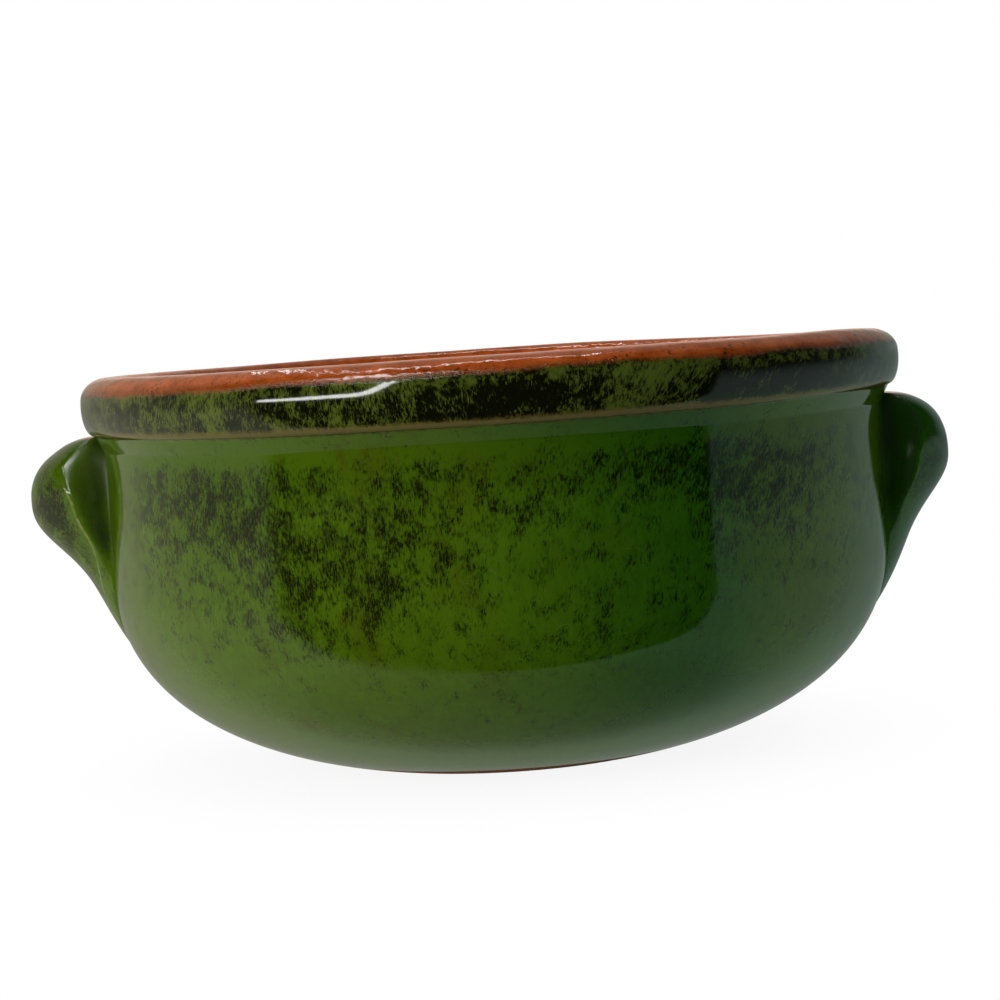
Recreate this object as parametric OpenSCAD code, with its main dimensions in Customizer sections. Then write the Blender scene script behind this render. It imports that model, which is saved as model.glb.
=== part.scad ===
// French onion soup crock: a thrown terracotta bowl with a rolled collar and two pressed lug handles,
// covered by three glaze coats: green outside, clear amber over the rim and a honey lining inside.
// Millimetres. +Z is up, the origin is the centre of the foot on the table, the handles lie along X.

/* [Bowl] */
// Height from the table to the top of the rim
bowl_h = 73; // [60:0.5:95]
// Radius of the collar at the rim
rim_r = 75; // [66:0.5:95]
// Height at which the round belly becomes the upright wall
belly_h = 34; // [26:0.5:42]
// How much wider the wall is under the collar than at the belly
wall_lean = 1.1; // [0:0.1:4]
// Radius of the foot that stands on the table
foot_r = 32.5; // [24:0.5:45]
// Power of the belly curve, where 2 is an ellipse and more is squarer
belly_power = 2.6; // [2:0.1:3.2]
// Thickness of the finished wall
wall_t = 5.8; // [4:0.1:7]
// Thickness of the finished floor at its centre
floor_t = 6.5; // [5:0.1:9]

/* [Foot] */
// Radius of the shallow dish under the foot
dish_r = 26; // [16:0.5:28]
// Depth of that dish
dish_d = 1.2; // [0.5:0.1:2]
// Width of the slope between the dish and the standing ring
dish_slope_w = 1.5; // [0.5:0.1:3]
// Height of the bare terracotta line above the table
bare_foot_h = 0.9; // [0.5:0.1:2]

/* [Collar] */
// Height of the rolled collar
collar_h = 10.3; // [9:0.1:14]
// How far the collar stands out from the wall under it
collar_out = 2.7; // [1.6:0.1:4]
// Height of the hollow flare where the wall meets the collar
flare_h = 3.2; // [2:0.1:5]
// How far that flare spreads outwards
flare_w = 0.9; // [0.5:0.1:1.4]
// Height of the rounding at the collar's lower edge
collar_low_h = 4.2; // [2.5:0.1:5]
// Width of the rounded shoulder from the collar's side to the crest
shoulder_w = 5; // [3:0.1:6]
// Height of that shoulder
shoulder_h = 4.15; // [2.5:0.05:5]
// Height of the rounding from the crest down to the inside
lip_h = 4.5; // [3:0.1:6]
// Share of the shoulder's height that shows amber
amber_share = 0.67; // [0.3:0.01:0.9]

/* [Glaze] */
// Thickness of every glaze coat
glaze_t = 0.4; // [0.3:0.05:0.6]

/* [Handles] */
// How far the left handle reaches out from the wall
left_reach = 14.3; // [10:0.1:18]
// How far the right handle reaches out from the wall
right_reach = 12.3; // [10:0.1:18]
// Gap between the collar and the top of the left handle
left_gap = 0.8; // [0.5:0.1:4]
// Gap between the collar and the top of the right handle
right_gap = 1.9; // [0.5:0.1:4]
// Height from a handle's widest reach up to its top
lobe_h = 11.1; // [8:0.1:13]
// Height from a handle's widest reach down to the end of its tail
tail_h = 31; // [26:0.5:34]
// Width of a handle across its fat lobe
lobe_w = 25; // [20:0.5:34]
// Width of a handle's neck between the two pinched hollows
neck_w = 17; // [12:0.5:19]
// Width of a handle at the lower end of its tail
tail_w = 12; // [8:0.5:20]
// How sharply the underside of the left handle draws in to the wall
left_taper = 2.7; // [1.8:0.1:3.2]
// How sharply the underside of the right handle draws in to the wall
right_taper = 2.2; // [1.8:0.1:3.2]

/* [Hidden] */
$fn = 120;

terracotta = "#a65a36";
green = "#4c6a1f";
amber = "#b0602f";
honey = "#8a5036";

// Radii that follow from the sizes above
neck_r = rim_r - collar_out;
belly_r = neck_r - wall_lean;
crest_r = rim_r - shoulder_w;
inner_neck_r = neck_r - wall_t;
inner_belly_r = belly_r - wall_t;
collar_z = bowl_h - collar_h;
flare_z = collar_z - flare_h;
shoulder_z = bowl_h - shoulder_h;
amber_a = asin(1 - amber_share);

// Steps along the curves
belly_steps = 22;
wall_steps = 4;
arc_steps = 5;
// Power that crowds the belly's steps towards the foot, where its curve is flattest
crowd = 1.6;

// A superellipse from a radius at the bottom to the full radius at height h, upright there
function swell(full_r, start_r, h, z) =
    let (start = pow(start_r / full_r, belly_power), down = (h - z) / h)
    full_r * pow(max(1 - (1 - start) * down * down, 0), 1 / belly_power);

// Outer radius of the finished crock, from the foot to the underside of the collar
function outer_r(z) =
    z < belly_h
    ? swell(belly_r, foot_r, belly_h, z)
    : belly_r + (neck_r - belly_r) * pow((z - belly_h) / (collar_z - belly_h), 2);

// Inner radius of the finished crock, from the floor to the lip
function inner_r(z) =
    z < belly_h
    ? swell(inner_belly_r, 0, belly_h - floor_t, z - floor_t)
    : inner_belly_r + (inner_neck_r - inner_belly_r) * (z - belly_h) / (bowl_h - lip_h - belly_h);

// A quarter of an ellipse about a centre, between two angles
function arc(centre, w, h, a0, a1, steps) =
    [for (i = [0:steps]) let (a = a0 + (a1 - a0) * i / steps) centre + [w * cos(a), h * sin(a)]];

function rest(v) = [for (i = [1:len(v) - 1]) v[i]];
function part_of(v, first, last) = [for (i = [first:last]) v[i]];
function reversed(v) = [for (i = [len(v) - 1:-1:0]) v[i]];

// The finished surface in three stretches, each from where the last one ended
belly_path = [for (i = [0:belly_steps])
    let (z = bare_foot_h + (belly_h - bare_foot_h) * pow(i / belly_steps, crowd)) [outer_r(z), z]];
wall_path = [for (i = [1:wall_steps])
    let (z = belly_h + (flare_z - belly_h) * i / wall_steps) [outer_r(z), z]];
flare_path = [for (i = [1:arc_steps])
    let (a = 90 * i / arc_steps, start_r = outer_r(flare_z))
    [start_r + (neck_r + flare_w - start_r) * (1 - cos(a)), flare_z + flare_h * sin(a)]];
low_path = rest(arc([neck_r + flare_w, collar_z + collar_low_h],
    collar_out - flare_w, collar_low_h, -90, 0, arc_steps));
side_path = arc([crest_r, shoulder_z], shoulder_w, shoulder_h, 0, amber_a, arc_steps);
green_path = concat(belly_path, wall_path, flare_path, low_path, side_path);

amber_path = concat(
    arc([crest_r, shoulder_z], shoulder_w, shoulder_h, amber_a, 90, arc_steps + arc_steps),
    rest(arc([crest_r, bowl_h - lip_h], crest_r - inner_neck_r, lip_h, 90, 180, arc_steps)));

lining_path = concat(
    [for (i = [0:wall_steps])
        let (z = bowl_h - lip_h + (belly_h - bowl_h + lip_h) * i / wall_steps) [inner_r(z), z]],
    [for (i = [1:belly_steps])
        let (z = belly_h + (floor_t - belly_h) * (1 - pow(1 - i / belly_steps, 2))) [inner_r(z), z]]);

skin = concat(green_path, rest(amber_path), rest(lining_path));
green_end = len(green_path) - 1;
amber_end = green_end + len(amber_path) - 1;
skin_end = len(skin) - 1;

// Direction of the surface at each point, square to the line through its neighbours
function outward(v, i) =
    let (t = v[min(i + 1, len(v) - 1)] - v[max(i - 1, 0)])
    [t[1], -t[0]] / norm(t);

// The clay's surface, one glaze coat inside the finished one
under_skin = [for (i = [0:skin_end])
    i == skin_end ? [0, floor_t - glaze_t] : skin[i] - glaze_t * outward(skin, i)];

// The bare foot below the green coat
foot_path = [[0, dish_d], [dish_r, dish_d], [dish_r + dish_slope_w, 0], [foot_r, 0],
    [outer_r(bare_foot_h / 2), bare_foot_h / 2], [outer_r(bare_foot_h), bare_foot_h]];

module coat(first, last) {
    rotate_extrude() polygon(concat(part_of(skin, first, last), reversed(part_of(under_skin, first, last))));
}

// Steps around and up a handle
round_steps = 7;
flank_steps = 5;
lobe_steps = 9;
fall_steps = 15;
// Power of the lobe's rounded top
lobe_power = 2.2;
// Share of the tail at which the underside has drawn in to half the reach
half_fall_share = 0.39;
// Share of the reach at which the ridge between the lobe's outer face and its pinched hollow lies
ridge_out_share = 0.62;
// Share of the tail at which that ridge has run in to the wall
ridge_end_share = 0.56;
// Power of the ridge's run down the tail
ridge_run_power = 1.4;
// Share of the lobe's width that is left at the very top
top_width_share = 0.35;
// Shares of the tail over which the pinched hollows fade into a plain round back
fade_from_share = 0.18;
fade_to_share = 0.55;
// Power of the tail's plain round back
back_power = 1.6;
// How soon a handle's side has drawn in to its neck
neck_rate = 1.25;
// Share of the neck's narrowing that it spreads again at its root
root_spread_share = 0.35;
// Power by which a handle's width draws in down its tail
width_power = 1.5;
// Thickness of a handle's edge all round its root, where it is smoothed onto the wall
edge_t = 0.3;
// Gap between a handle and the wall, filled with slip
slip_gap = 0.03;
// How far the openings for the handles run past the coat on either side
overrun = 1;

function smooth(s) = let (c = min(max(s, 0), 1)) c * c * (3 - 2 * c);
function mix(a, b, s) = a + (b - a) * s;

// Reach of a handle as a share, by its height above the widest reach, up to its top or down to its tail
function fall(s, taper) = 1 / (1 + pow(s / half_fall_share, taper));
function reach_share(s, taper) =
    s >= 0
    ? pow(max(1 - pow(s, lobe_power), 0), 1 / lobe_power)
    : fall(-s, taper) - fall(1, taper) * pow(-s, 4);

// Half the width of a handle at that height
function half_w(s, w, end_w) =
    s >= 0
    ? w / 2 * mix(top_width_share, 1, sqrt(max(1 - s * s, 0)))
    : mix(w, end_w, pow(-s, width_power)) / 2;

// Where the ridge lies at that height, as a share of the reach
function ridge_share(s) = ridge_out_share * max(1 - pow(max(-s, 0) / ridge_end_share, ridge_run_power), 0);

// One side of a handle's level outline, from its nose at 0 over its ridge to its root at 1,
// as shares of reach and width
function lobe_point(v, ridge, neck_share) =
    let (turn = round_steps / (round_steps + flank_steps))
    v <= turn
    ? let (a = 90 * v / turn) [mix(ridge, 1, cos(a)), sin(a)]
    : let (u = (v - turn) / (1 - turn))
      [ridge * (1 - u),
       mix(1, neck_share, smooth(u * neck_rate)) + (1 - neck_share) * root_spread_share * pow(u, 4)];

// The same for the plain back of the tail
function back_point(v) = [pow(cos(90 * v), back_power), sin(90 * v)];

// How far the tail's hollows have faded at that height
function fade_at(s) = s >= 0 ? 0 : smooth((-s - fade_from_share) / (fade_to_share - fade_from_share));

// Half the width of a handle where it meets the wall
function root_w(s) =
    let (fade = fade_at(s), neck_share = mix(neck_w / lobe_w, 1, fade))
    half_w(s, lobe_w, tail_w) * mix(lobe_point(1, 0, neck_share), back_point(1), fade)[1];

// Distance from the bowl's axis plane to a wall of that radius, at a distance y to the side
function wall_x(r, y) = sqrt(r * r - y * y);

// The heights of a handle's levels above its widest reach, as shares of its tail or its lobe
lug_shares = [for (i = [0:fall_steps + lobe_steps])
    i < fall_steps ? i / fall_steps - 1 : sin(90 * (i - fall_steps) / lobe_steps)];
function lug_z(s, gap) = collar_z - gap - lobe_h + (s < 0 ? tail_h : lobe_h) * s;

side_steps = round_steps + flank_steps;

// One level of a handle's surface, from its far root round the nose to its near root.
// inset is how far it lies inside the finished surface.
function lug_level(s, reach, gap, taper, inset) =
    let (z = lug_z(s, gap), base_r = outer_r(z) - inset, fade = fade_at(s),
         neck_share = mix(neck_w / lobe_w, 1, fade), ridge = ridge_share(s),
         e = max((reach - edge_t) * reach_share(s, taper), 0),
         hw = half_w(s, lobe_w, tail_w) - inset,
         side = [for (i = [0:side_steps])
             let (v = i / side_steps, p = mix(lobe_point(v, ridge, neck_share), back_point(v), fade),
                  y = i == side_steps ? root_w(s) : hw * p[1])
             [wall_x(base_r, y) + edge_t + e * p[0], y, z]])
    concat([for (i = [side_steps:-1:1]) [side[i][0], -side[i][1], z]], side);

// The same level where the handle lies against the wall
function seat_level(s, gap) =
    let (z = lug_z(s, gap), base_r = outer_r(z) - glaze_t + slip_gap)
    [for (i = [-side_steps:side_steps]) let (y = root_w(s) * i / side_steps) [wall_x(base_r, y), y, z]];

// A closed shell between an outer and an inner sheet of levels that run alike
module between(outer, inner) {
    rows = len(outer);
    cols = len(outer[0]);
    count = rows * cols;
    points = concat([for (row = outer) for (p = row) p], [for (row = inner) for (p = row) p]);
    sheet = [for (k = [0:rows - 2]) for (i = [0:cols - 2])
        let (a = k * cols + i, b = a + 1, c = b + cols, d = a + cols)
        each [[a, c, b], [a, d, c], [a + count, b + count, c + count], [a + count, c + count, d + count]]];
    ends = [for (i = [0:cols - 2]) for (k = [0, rows - 1])
        let (a = k * cols + i, b = a + 1, flip = k > 0)
        each (flip ? [[a, a + count, b + count], [a, b + count, b]]
            : [[a, b + count, a + count], [a, b, b + count]])];
    edges = [for (k = [0:rows - 2]) for (i = [0, cols - 1])
        let (a = k * cols + i, d = a + cols, flip = i > 0)
        each (flip ? [[a, d + count, a + count], [a, d, d + count]]
            : [[a, a + count, d + count], [a, d + count, d]])];
    polyhedron(points, concat(sheet, ends, edges), convexity = 6);
}

// A handle's clay, one coat inside the finished surface and seated on the clay wall
module lug_clay(reach, gap, taper) {
    between([for (s = lug_shares) lug_level(s, reach, gap, taper, glaze_t - slip_gap)],
        [for (s = lug_shares) seat_level(s, gap)]);
}

// The coat over that clay
module lug_coat(reach, gap, taper) {
    between([for (s = lug_shares) lug_level(s, reach, gap, taper, 0)],
        [for (s = lug_shares) lug_level(s, reach, gap, taper, glaze_t - slip_gap)]);
}

// The opening in the body's coat where a handle sits
module lug_window(gap) {
    outline = concat([for (s = lug_shares) [root_w(s), lug_z(s, gap)]],
        [for (i = [len(lug_shares) - 1:-1:0]) [-root_w(lug_shares[i]), lug_z(lug_shares[i], gap)]]);
    start_x = wall_x(inner_belly_r, lobe_w / 2);
    translate([start_x, 0, 0]) rotate([90, 0, 90])
        linear_extrude(rim_r - start_x + overrun) polygon(outline);
}

module clay_bowl() {
    color(terracotta) rotate_extrude() polygon(concat(foot_path, under_skin));
}

module left_handle() {
    color(terracotta) mirror([1, 0, 0]) lug_clay(left_reach, left_gap, left_taper);
}

module right_handle() {
    color(terracotta) lug_clay(right_reach, right_gap, right_taper);
}

// The green coat is poured after the handles are on, so it stops round their roots
module body_glaze() {
    color(green) difference() {
        coat(0, green_end);
        mirror([1, 0, 0]) lug_window(left_gap);
        lug_window(right_gap);
    }
}

module rim_glaze() {
    color(amber) coat(green_end, amber_end);
}

module lining_glaze() {
    color(honey) coat(amber_end, skin_end);
}

module left_handle_glaze() {
    color(green) mirror([1, 0, 0]) lug_coat(left_reach, left_gap, left_taper);
}

module right_handle_glaze() {
    color(green) lug_coat(right_reach, right_gap, right_taper);
}

clay_bowl();
left_handle();
right_handle();
body_glaze();
rim_glaze();
lining_glaze();
left_handle_glaze();
right_handle_glaze();
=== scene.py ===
"""French onion soup crock: fine meshes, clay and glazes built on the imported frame.

Lengths are in metres, +Z is up, the handles lie along X and the camera stands on the -Y side.
"""

import logging
import math
from dataclasses import dataclass
from enum import Enum
from typing import Any, Mapping, Sequence

import bpy
import numpy as np
from mathutils import Matrix, Vector


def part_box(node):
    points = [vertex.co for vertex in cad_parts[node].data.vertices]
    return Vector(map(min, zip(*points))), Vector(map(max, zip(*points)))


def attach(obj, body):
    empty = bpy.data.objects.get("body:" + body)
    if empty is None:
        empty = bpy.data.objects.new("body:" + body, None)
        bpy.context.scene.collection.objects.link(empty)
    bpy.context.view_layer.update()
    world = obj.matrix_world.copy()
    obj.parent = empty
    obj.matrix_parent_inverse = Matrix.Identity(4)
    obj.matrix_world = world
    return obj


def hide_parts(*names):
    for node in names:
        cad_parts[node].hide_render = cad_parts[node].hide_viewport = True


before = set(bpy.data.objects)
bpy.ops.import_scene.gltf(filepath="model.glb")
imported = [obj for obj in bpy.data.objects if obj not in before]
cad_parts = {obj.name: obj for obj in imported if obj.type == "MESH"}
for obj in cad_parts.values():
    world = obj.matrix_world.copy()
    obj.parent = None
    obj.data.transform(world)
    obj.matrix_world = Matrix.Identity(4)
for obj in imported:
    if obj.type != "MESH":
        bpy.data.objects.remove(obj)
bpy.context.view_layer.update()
log = logging.getLogger("crock")

MM = 0.001
Point = tuple[float, float]
Span = tuple[float, float]
Colour = tuple[float, float, float, float]
SPACE = "crock_space"
DABS = "sponge_dabs"
RIDGE_AND_HOLLOW = "thin_lit_ridge_and_shaded_hollow"
WHITE: Colour = (1.0, 1.0, 1.0, 1.0)


def mix(a: float, b: float, share: float) -> float:
    """Return the value that lies a share of the way from a to b."""
    return a + (b - a) * share


def soft_step(value: Any, start: float, length: float) -> Any:
    """Return a soft step from 0 at start to 1 a length further on, for a number or an array."""
    share = np.clip((value - start) / length, 0.0, 1.0)
    return share * share * (3 - 2 * share)


def paint(red: int, green: int, blue: int) -> Colour:
    """Return the linear colour of a paint that is named by its screen values.

    Args:
        red: Red from 0 to 255.
        green: Green from 0 to 255.
        blue: Blue from 0 to 255.

    Returns:
        The linear colour with full alpha.
    """
    def linear(value: int) -> float:
        """Return one linear part."""
        share = value / 255
        return share / 12.92 if share <= 0.04045 else ((share + 0.055) / 1.055) ** 2.4

    return (linear(red), linear(green), linear(blue), 1.0)


def spaced(start: float, end: float, steps: int, first: int = 0) -> list[float]:
    """Return evenly spaced values up to end, from the one that is numbered first."""
    return [mix(start, end, k / steps) for k in range(first, steps + 1)]


def placed(name: str, data: Any) -> bpy.types.Object:
    """Add an object to the scene.

    Args:
        name: The object's name.
        data: Its mesh, camera or lamp.

    Returns:
        The object, at the origin.
    """
    thing = bpy.data.objects.new(name, data)
    bpy.context.scene.collection.objects.link(thing)
    return thing


class Board:
    """A node tree with one method that adds any node."""

    def __init__(self, tree: bpy.types.NodeTree) -> None:
        """Keep the tree that the nodes go into."""
        self.tree = tree

    @classmethod
    def fresh(cls, owner: bpy.types.Material | bpy.types.World) -> "Board":
        """Start an empty board.

        Args:
            owner: The material or world whose nodes it holds.

        Returns:
            The board.
        """
        owner.use_nodes = True
        owner.node_tree.nodes.clear()
        return cls(owner.node_tree)

    def add(self, kind: str, settings: Mapping[str, Any] | None = None,
            sockets: Mapping[Any, Any] | None = None) -> bpy.types.Node:
        """Add a node.

        Args:
            kind: The node's type.
            settings: Its properties, set before its sockets.
            sockets: Values or links for its input sockets, by name or number.

        Returns:
            The new node.
        """
        node = self.tree.nodes.new(kind)
        for name, value in (settings or {}).items():
            setattr(node, name, value)
        for key, value in (sockets or {}).items():
            source = value.socket if isinstance(value, Term) else value
            if isinstance(source, bpy.types.NodeSocket):
                self.tree.links.new(source, node.inputs[key])
            else:
                node.inputs[key].default_value = source
        return node

    def term(self, kind: str, settings: Mapping[str, Any] | None = None,
             sockets: Mapping[Any, Any] | None = None, output: Any = 0) -> "Term":
        """Add a node and return one of its outputs as a term."""
        return Term(self, self.add(kind, settings, sockets).outputs[output])

    def attribute(self, name: str, output: str) -> "Term":
        """Return an attribute of the surface."""
        return self.term("ShaderNodeAttribute", {"attribute_name": name}, output=output)

    def noise(self, space: "Term", scale: float, detail: float = 3.0, rough: float = 0.5,
              up: float = 1.0, output: str = "Fac") -> "Term":
        """Add a noise.

        Args:
            space: Where it is read, in millimetres or metres.
            scale: Its waves to that unit.
            detail: How many finer waves are added.
            rough: How strong the finer waves are.
            up: What heights are multiplied by first, which is under 1 for upright strokes.
            output: The node's output.

        Returns:
            The noise.
        """
        if up != 1.0:
            space = self.stretch(space, (1, 1, up))
        return self.term("ShaderNodeTexNoise", {"noise_dimensions": "3D"},
                         {"Vector": space, "Scale": scale, "Detail": detail, "Roughness": rough}, output)

    def blend(self, share: "Term | float", low: Any, high: Any) -> "Term":
        """Return a colour that turns from low to high with a share."""
        return self.term("ShaderNodeMix", {"data_type": "RGBA"}, {0: share, 6: low, 7: high}, 2)

    def stretch(self, space: "Term", scales: Sequence[float]) -> "Term":
        """Return a space that is scaled along each of its axes."""
        return self.term("ShaderNodeVectorMath", {"operation": "MULTIPLY"}, {0: space, 1: tuple(scales)})

    def axes(self, space: "Term") -> tuple["Term", "Term", "Term"]:
        """Return the three parts of a vector."""
        node = self.add("ShaderNodeSeparateXYZ", sockets={0: space})
        return tuple(Term(self, node.outputs[k]) for k in range(3))


class Term:
    """A socket in an expression: its operators add the Math nodes that they stand for."""

    def __init__(self, board: Board, socket: bpy.types.NodeSocket) -> None:
        """Wrap one output socket of a board."""
        self.board = board
        self.socket = socket

    def _math(self, operation: str, first: Any, second: Any = 0.0) -> "Term":
        """Add one Math node."""
        return self.board.term("ShaderNodeMath", {"operation": operation}, {0: first, 1: second})

    def __add__(self, other: Any) -> "Term":
        """Return the sum."""
        return self._math("ADD", self, other)

    __radd__ = __add__

    def __mul__(self, other: Any) -> "Term":
        """Return the product."""
        return self._math("MULTIPLY", self, other)

    __rmul__ = __mul__

    def __sub__(self, other: Any) -> "Term":
        """Return the difference."""
        return self._math("SUBTRACT", self, other)

    def __rsub__(self, other: Any) -> "Term":
        """Return the difference from a number."""
        return self._math("SUBTRACT", other, self)

    def __truediv__(self, other: Any) -> "Term":
        """Return the quotient."""
        return self._math("DIVIDE", self, other)

    def __pow__(self, other: Any) -> "Term":
        """Return the power."""
        return self._math("POWER", self, other)

    def __neg__(self) -> "Term":
        """Return the opposite."""
        return self._math("MULTIPLY", self, -1.0)

    def __abs__(self) -> "Term":
        """Return the size without its sign."""
        return self._math("ABSOLUTE", self)

    def largest(self, other: Any) -> "Term":
        """Return the larger of this and another value."""
        return self._math("MAXIMUM", self, other)

    def least(self, other: Any) -> "Term":
        """Return the smaller of this and another value."""
        return self._math("MINIMUM", self, other)

    def step(self, start: Any, end: Any) -> "Term":
        """Return a soft step from 0 at start to 1 at end."""
        return self.board.term("ShaderNodeMapRange", {"interpolation_type": "SMOOTHSTEP"},
                               {0: self, 1: start, 2: end})

    def inside(self, low: float, high: float, edge: float) -> "Term":
        """Return 1 between two values and 0 outside them, with soft edges."""
        return self.step(low - edge, low + edge) * (1 - self.step(high - edge, high + edge))


def radius(x: Term, y: Term) -> Term:
    """Return the length of a pair of parts."""
    return (x * x + y * y) ** 0.5


def past_corner(over_x: Term, over_z: Term, corner: float) -> Term:
    """Return how far a place lies past two edges that meet in a rounded corner.

    Args:
        over_x: How far it lies past the point where the first edge starts to bend.
        over_z: The same for the second edge.
        corner: The corner's radius.

    Returns:
        The distance, below 0 on the inner side.
    """
    far_x, far_z = over_x.largest(0.0), over_z.largest(0.0)
    return radius(far_x, far_z) + over_x.largest(over_z).least(0.0) - corner


@dataclass(frozen=True)
class CrockForm:
    """The thrown shape: every radius and height that the pieces share.

    Names end in _r for a radius, _h for a height or a rise, _w for a width, _t for a thickness and _d for a
    depth. A bend of the flare is the slope that it adds, where it starts and how long it is, as shares.
    """

    bowl_h: float = 73 * MM
    rim_r: float = 75 * MM
    belly_h: float = 34 * MM
    wall_lean: float = 1.1 * MM
    foot_r: float = 32.5 * MM
    belly_power: float = 2.6
    wall_t: float = 5.8 * MM
    floor_t: float = 6.5 * MM
    dish_r: float = 26 * MM
    dish_d: float = 1.2 * MM
    dish_slope_w: float = 1.5 * MM
    bare_foot_h: float = 1.8 * MM
    collar_h: float = 10.8 * MM
    collar_out: float = 2.7 * MM
    flare_h: float = 3.2 * MM
    flare_w: float = 0.9 * MM
    pinch: float = 0.6 * MM
    pinch_from: float = 42 * MM
    collar_low_h: float = 4.7 * MM
    shoulder_w: float = 5 * MM
    shoulder_h: float = 4.15 * MM
    lip_h: float = 4.5 * MM
    amber_share: float = 0.67
    glaze_t: float = 0.4 * MM
    flare_slope: float = 0.05
    flare_bends: tuple[tuple[float, float, float], ...] = ((0.55, 0.15, 0.08), (0.9, 0.94, 0.06))
    belly_steps: int = 52
    belly_crowding: float = 1.6
    wall_steps: int = 10
    shoulder_steps: int = 30
    lip_steps: int = 20
    lining_steps: int = 12
    floor_steps: int = 44
    foot_steps: int = 4
    dish_steps: int = 6
    dish_end: float = 20.0

    @classmethod
    def from_frame(cls) -> "CrockForm":
        """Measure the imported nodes.

        Returns:
            The form with the height and the rim radius that they have.
        """
        _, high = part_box("rim_glaze")
        side_low, side_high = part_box("body_glaze")
        return cls(bowl_h=high.z, rim_r=(side_high.y - side_low.y) / 2)

    @property
    def neck_r(self) -> float:
        """Radius of the wall under the collar."""
        return self.rim_r - self.collar_out

    @property
    def belly_r(self) -> float:
        """Radius of the wall at the top of the belly."""
        return self.neck_r - self.wall_lean

    @property
    def collar_z(self) -> float:
        """Height of the collar's lower edge."""
        return self.bowl_h - self.collar_h

    @property
    def flare_z(self) -> float:
        """Height at which the wall begins to flare to the collar."""
        return self.collar_z - self.flare_h

    @property
    def shoulder_z(self) -> float:
        """Height at which the collar's side turns into its shoulder."""
        return self.bowl_h - self.shoulder_h

    def swell(self, full_r: float, start_r: float, h: float, z: float) -> float:
        """Return the radius of a curve that swells upwards.

        Args:
            full_r: The radius at its top.
            start_r: The radius at height 0.
            h: The height of its top.
            z: The height that is asked for.

        Returns:
            The radius at that height.
        """
        start = (start_r / full_r) ** self.belly_power
        down = (h - z) / h
        return full_r * max(1 - (1 - start) * down * down, 0.0) ** (1 / self.belly_power)

    def outer_r(self, z: float) -> float:
        """Return the outer radius.

        Args:
            z: A height below the collar.

        Returns:
            The radius, drawn in a little under the flare.
        """
        if z < self.belly_h:
            return self.swell(self.belly_r, self.foot_r, self.belly_h, z)
        rise = (z - self.belly_h) / (self.collar_z - self.belly_h)
        drawn = self.pinch * float(soft_step(z, self.pinch_from, self.flare_z - self.pinch_from))
        return self.belly_r + self.wall_lean * rise * rise - drawn

    def inner_r(self, z: float) -> float:
        """Return the inner radius.

        Args:
            z: A height above the floor.

        Returns:
            The radius.
        """
        belly_r = self.belly_r - self.wall_t
        if z < self.belly_h:
            return self.swell(belly_r, 0.0, self.belly_h - self.floor_t, z - self.floor_t)
        return belly_r + self.wall_lean * (z - self.belly_h) / (self.bowl_h - self.lip_h - self.belly_h)

    @staticmethod
    def arc(centre: Point, w: float, h: float, start: float, end: float, steps: int) -> list[Point]:
        """Return points on an ellipse about a centre, between two angles in degrees."""
        angles = [math.radians(mix(start, end, k / steps)) for k in range(steps + 1)]
        return [(centre[0] + w * math.cos(a), centre[1] + h * math.sin(a)) for a in angles]

    def green_path(self) -> list[Point]:
        """Draw the outside from the bare foot up to the amber shoulder.

        Returns:
            The points, closer together near the foot.
        """
        shares = [share ** self.belly_crowding for share in spaced(0.0, 1.0, self.belly_steps)]
        heights = [mix(self.bare_foot_h, self.belly_h, share) for share in shares]
        heights += spaced(self.belly_h, self.flare_z, self.wall_steps, 1)
        return [(self.outer_r(z), z) for z in heights] + self.flare_path() + self.collar_path()

    def collar_path(self, turn: float = 6.0, steps: int = 12) -> list[Point]:
        """Return the collar's side up to the amber: two arcs, joined by a gentle swell.

        Args:
            turn: Angle in degrees from the upright at which the arcs give way to the swell.
            steps: Steps along each part.

        Returns:
            The points, without the one at the top of the flare.
        """
        rise = math.tan(math.radians(turn))
        low_w = self.collar_out - self.flare_w
        low_end = -math.degrees(math.atan(rise * self.collar_low_h / low_w))
        low = self.arc((self.neck_r + self.flare_w, self.collar_z + self.collar_low_h),
                       low_w, self.collar_low_h, -90, low_end, steps)
        high_start = math.degrees(math.atan(rise * self.shoulder_h / self.shoulder_w))
        high = self.arc((self.rim_r - self.shoulder_w, self.shoulder_z),
                        self.shoulder_w, self.shoulder_h, high_start, self.amber_angle, steps)
        (r0, z0), (r2, z2) = low[-1], high[0]
        r1, z1 = (r0 + r2) / 2 + rise * (z2 - z0) / 2, (z0 + z2) / 2
        swell = [((1 - t) ** 2 * r0 + 2 * t * (1 - t) * r1 + t * t * r2,
                  (1 - t) ** 2 * z0 + 2 * t * (1 - t) * z1 + t * t * z2)
                 for t in (k / steps for k in range(1, steps))]
        return low[1:] + swell + high

    def flare_path(self, steps: int = 24) -> list[Point]:
        """Draw the flare under the collar: a straight chamfer with short bends at both ends.

        Args:
            steps: Steps up the flare.

        Returns:
            The points, without the one at its foot.
        """
        start_r = self.outer_r(self.flare_z)
        heights = spaced(0.0, 1.0, steps)
        slopes = [sum((gain * soft_step(h, start, length) for gain, start, length in self.flare_bends),
                      self.flare_slope) for h in heights]
        runs = np.cumsum([0.0] + [(a + b) / 2 for a, b in zip(slopes, slopes[1:])])
        spread = self.neck_r + self.flare_w - start_r
        return [(start_r + spread * float(run / runs[-1]), self.flare_z + self.flare_h * h)
                for run, h in zip(runs, heights)][1:]

    @property
    def amber_angle(self) -> float:
        """Angle on the shoulder at which the green coat ends, in degrees."""
        return math.degrees(math.asin(1 - self.amber_share))

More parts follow.
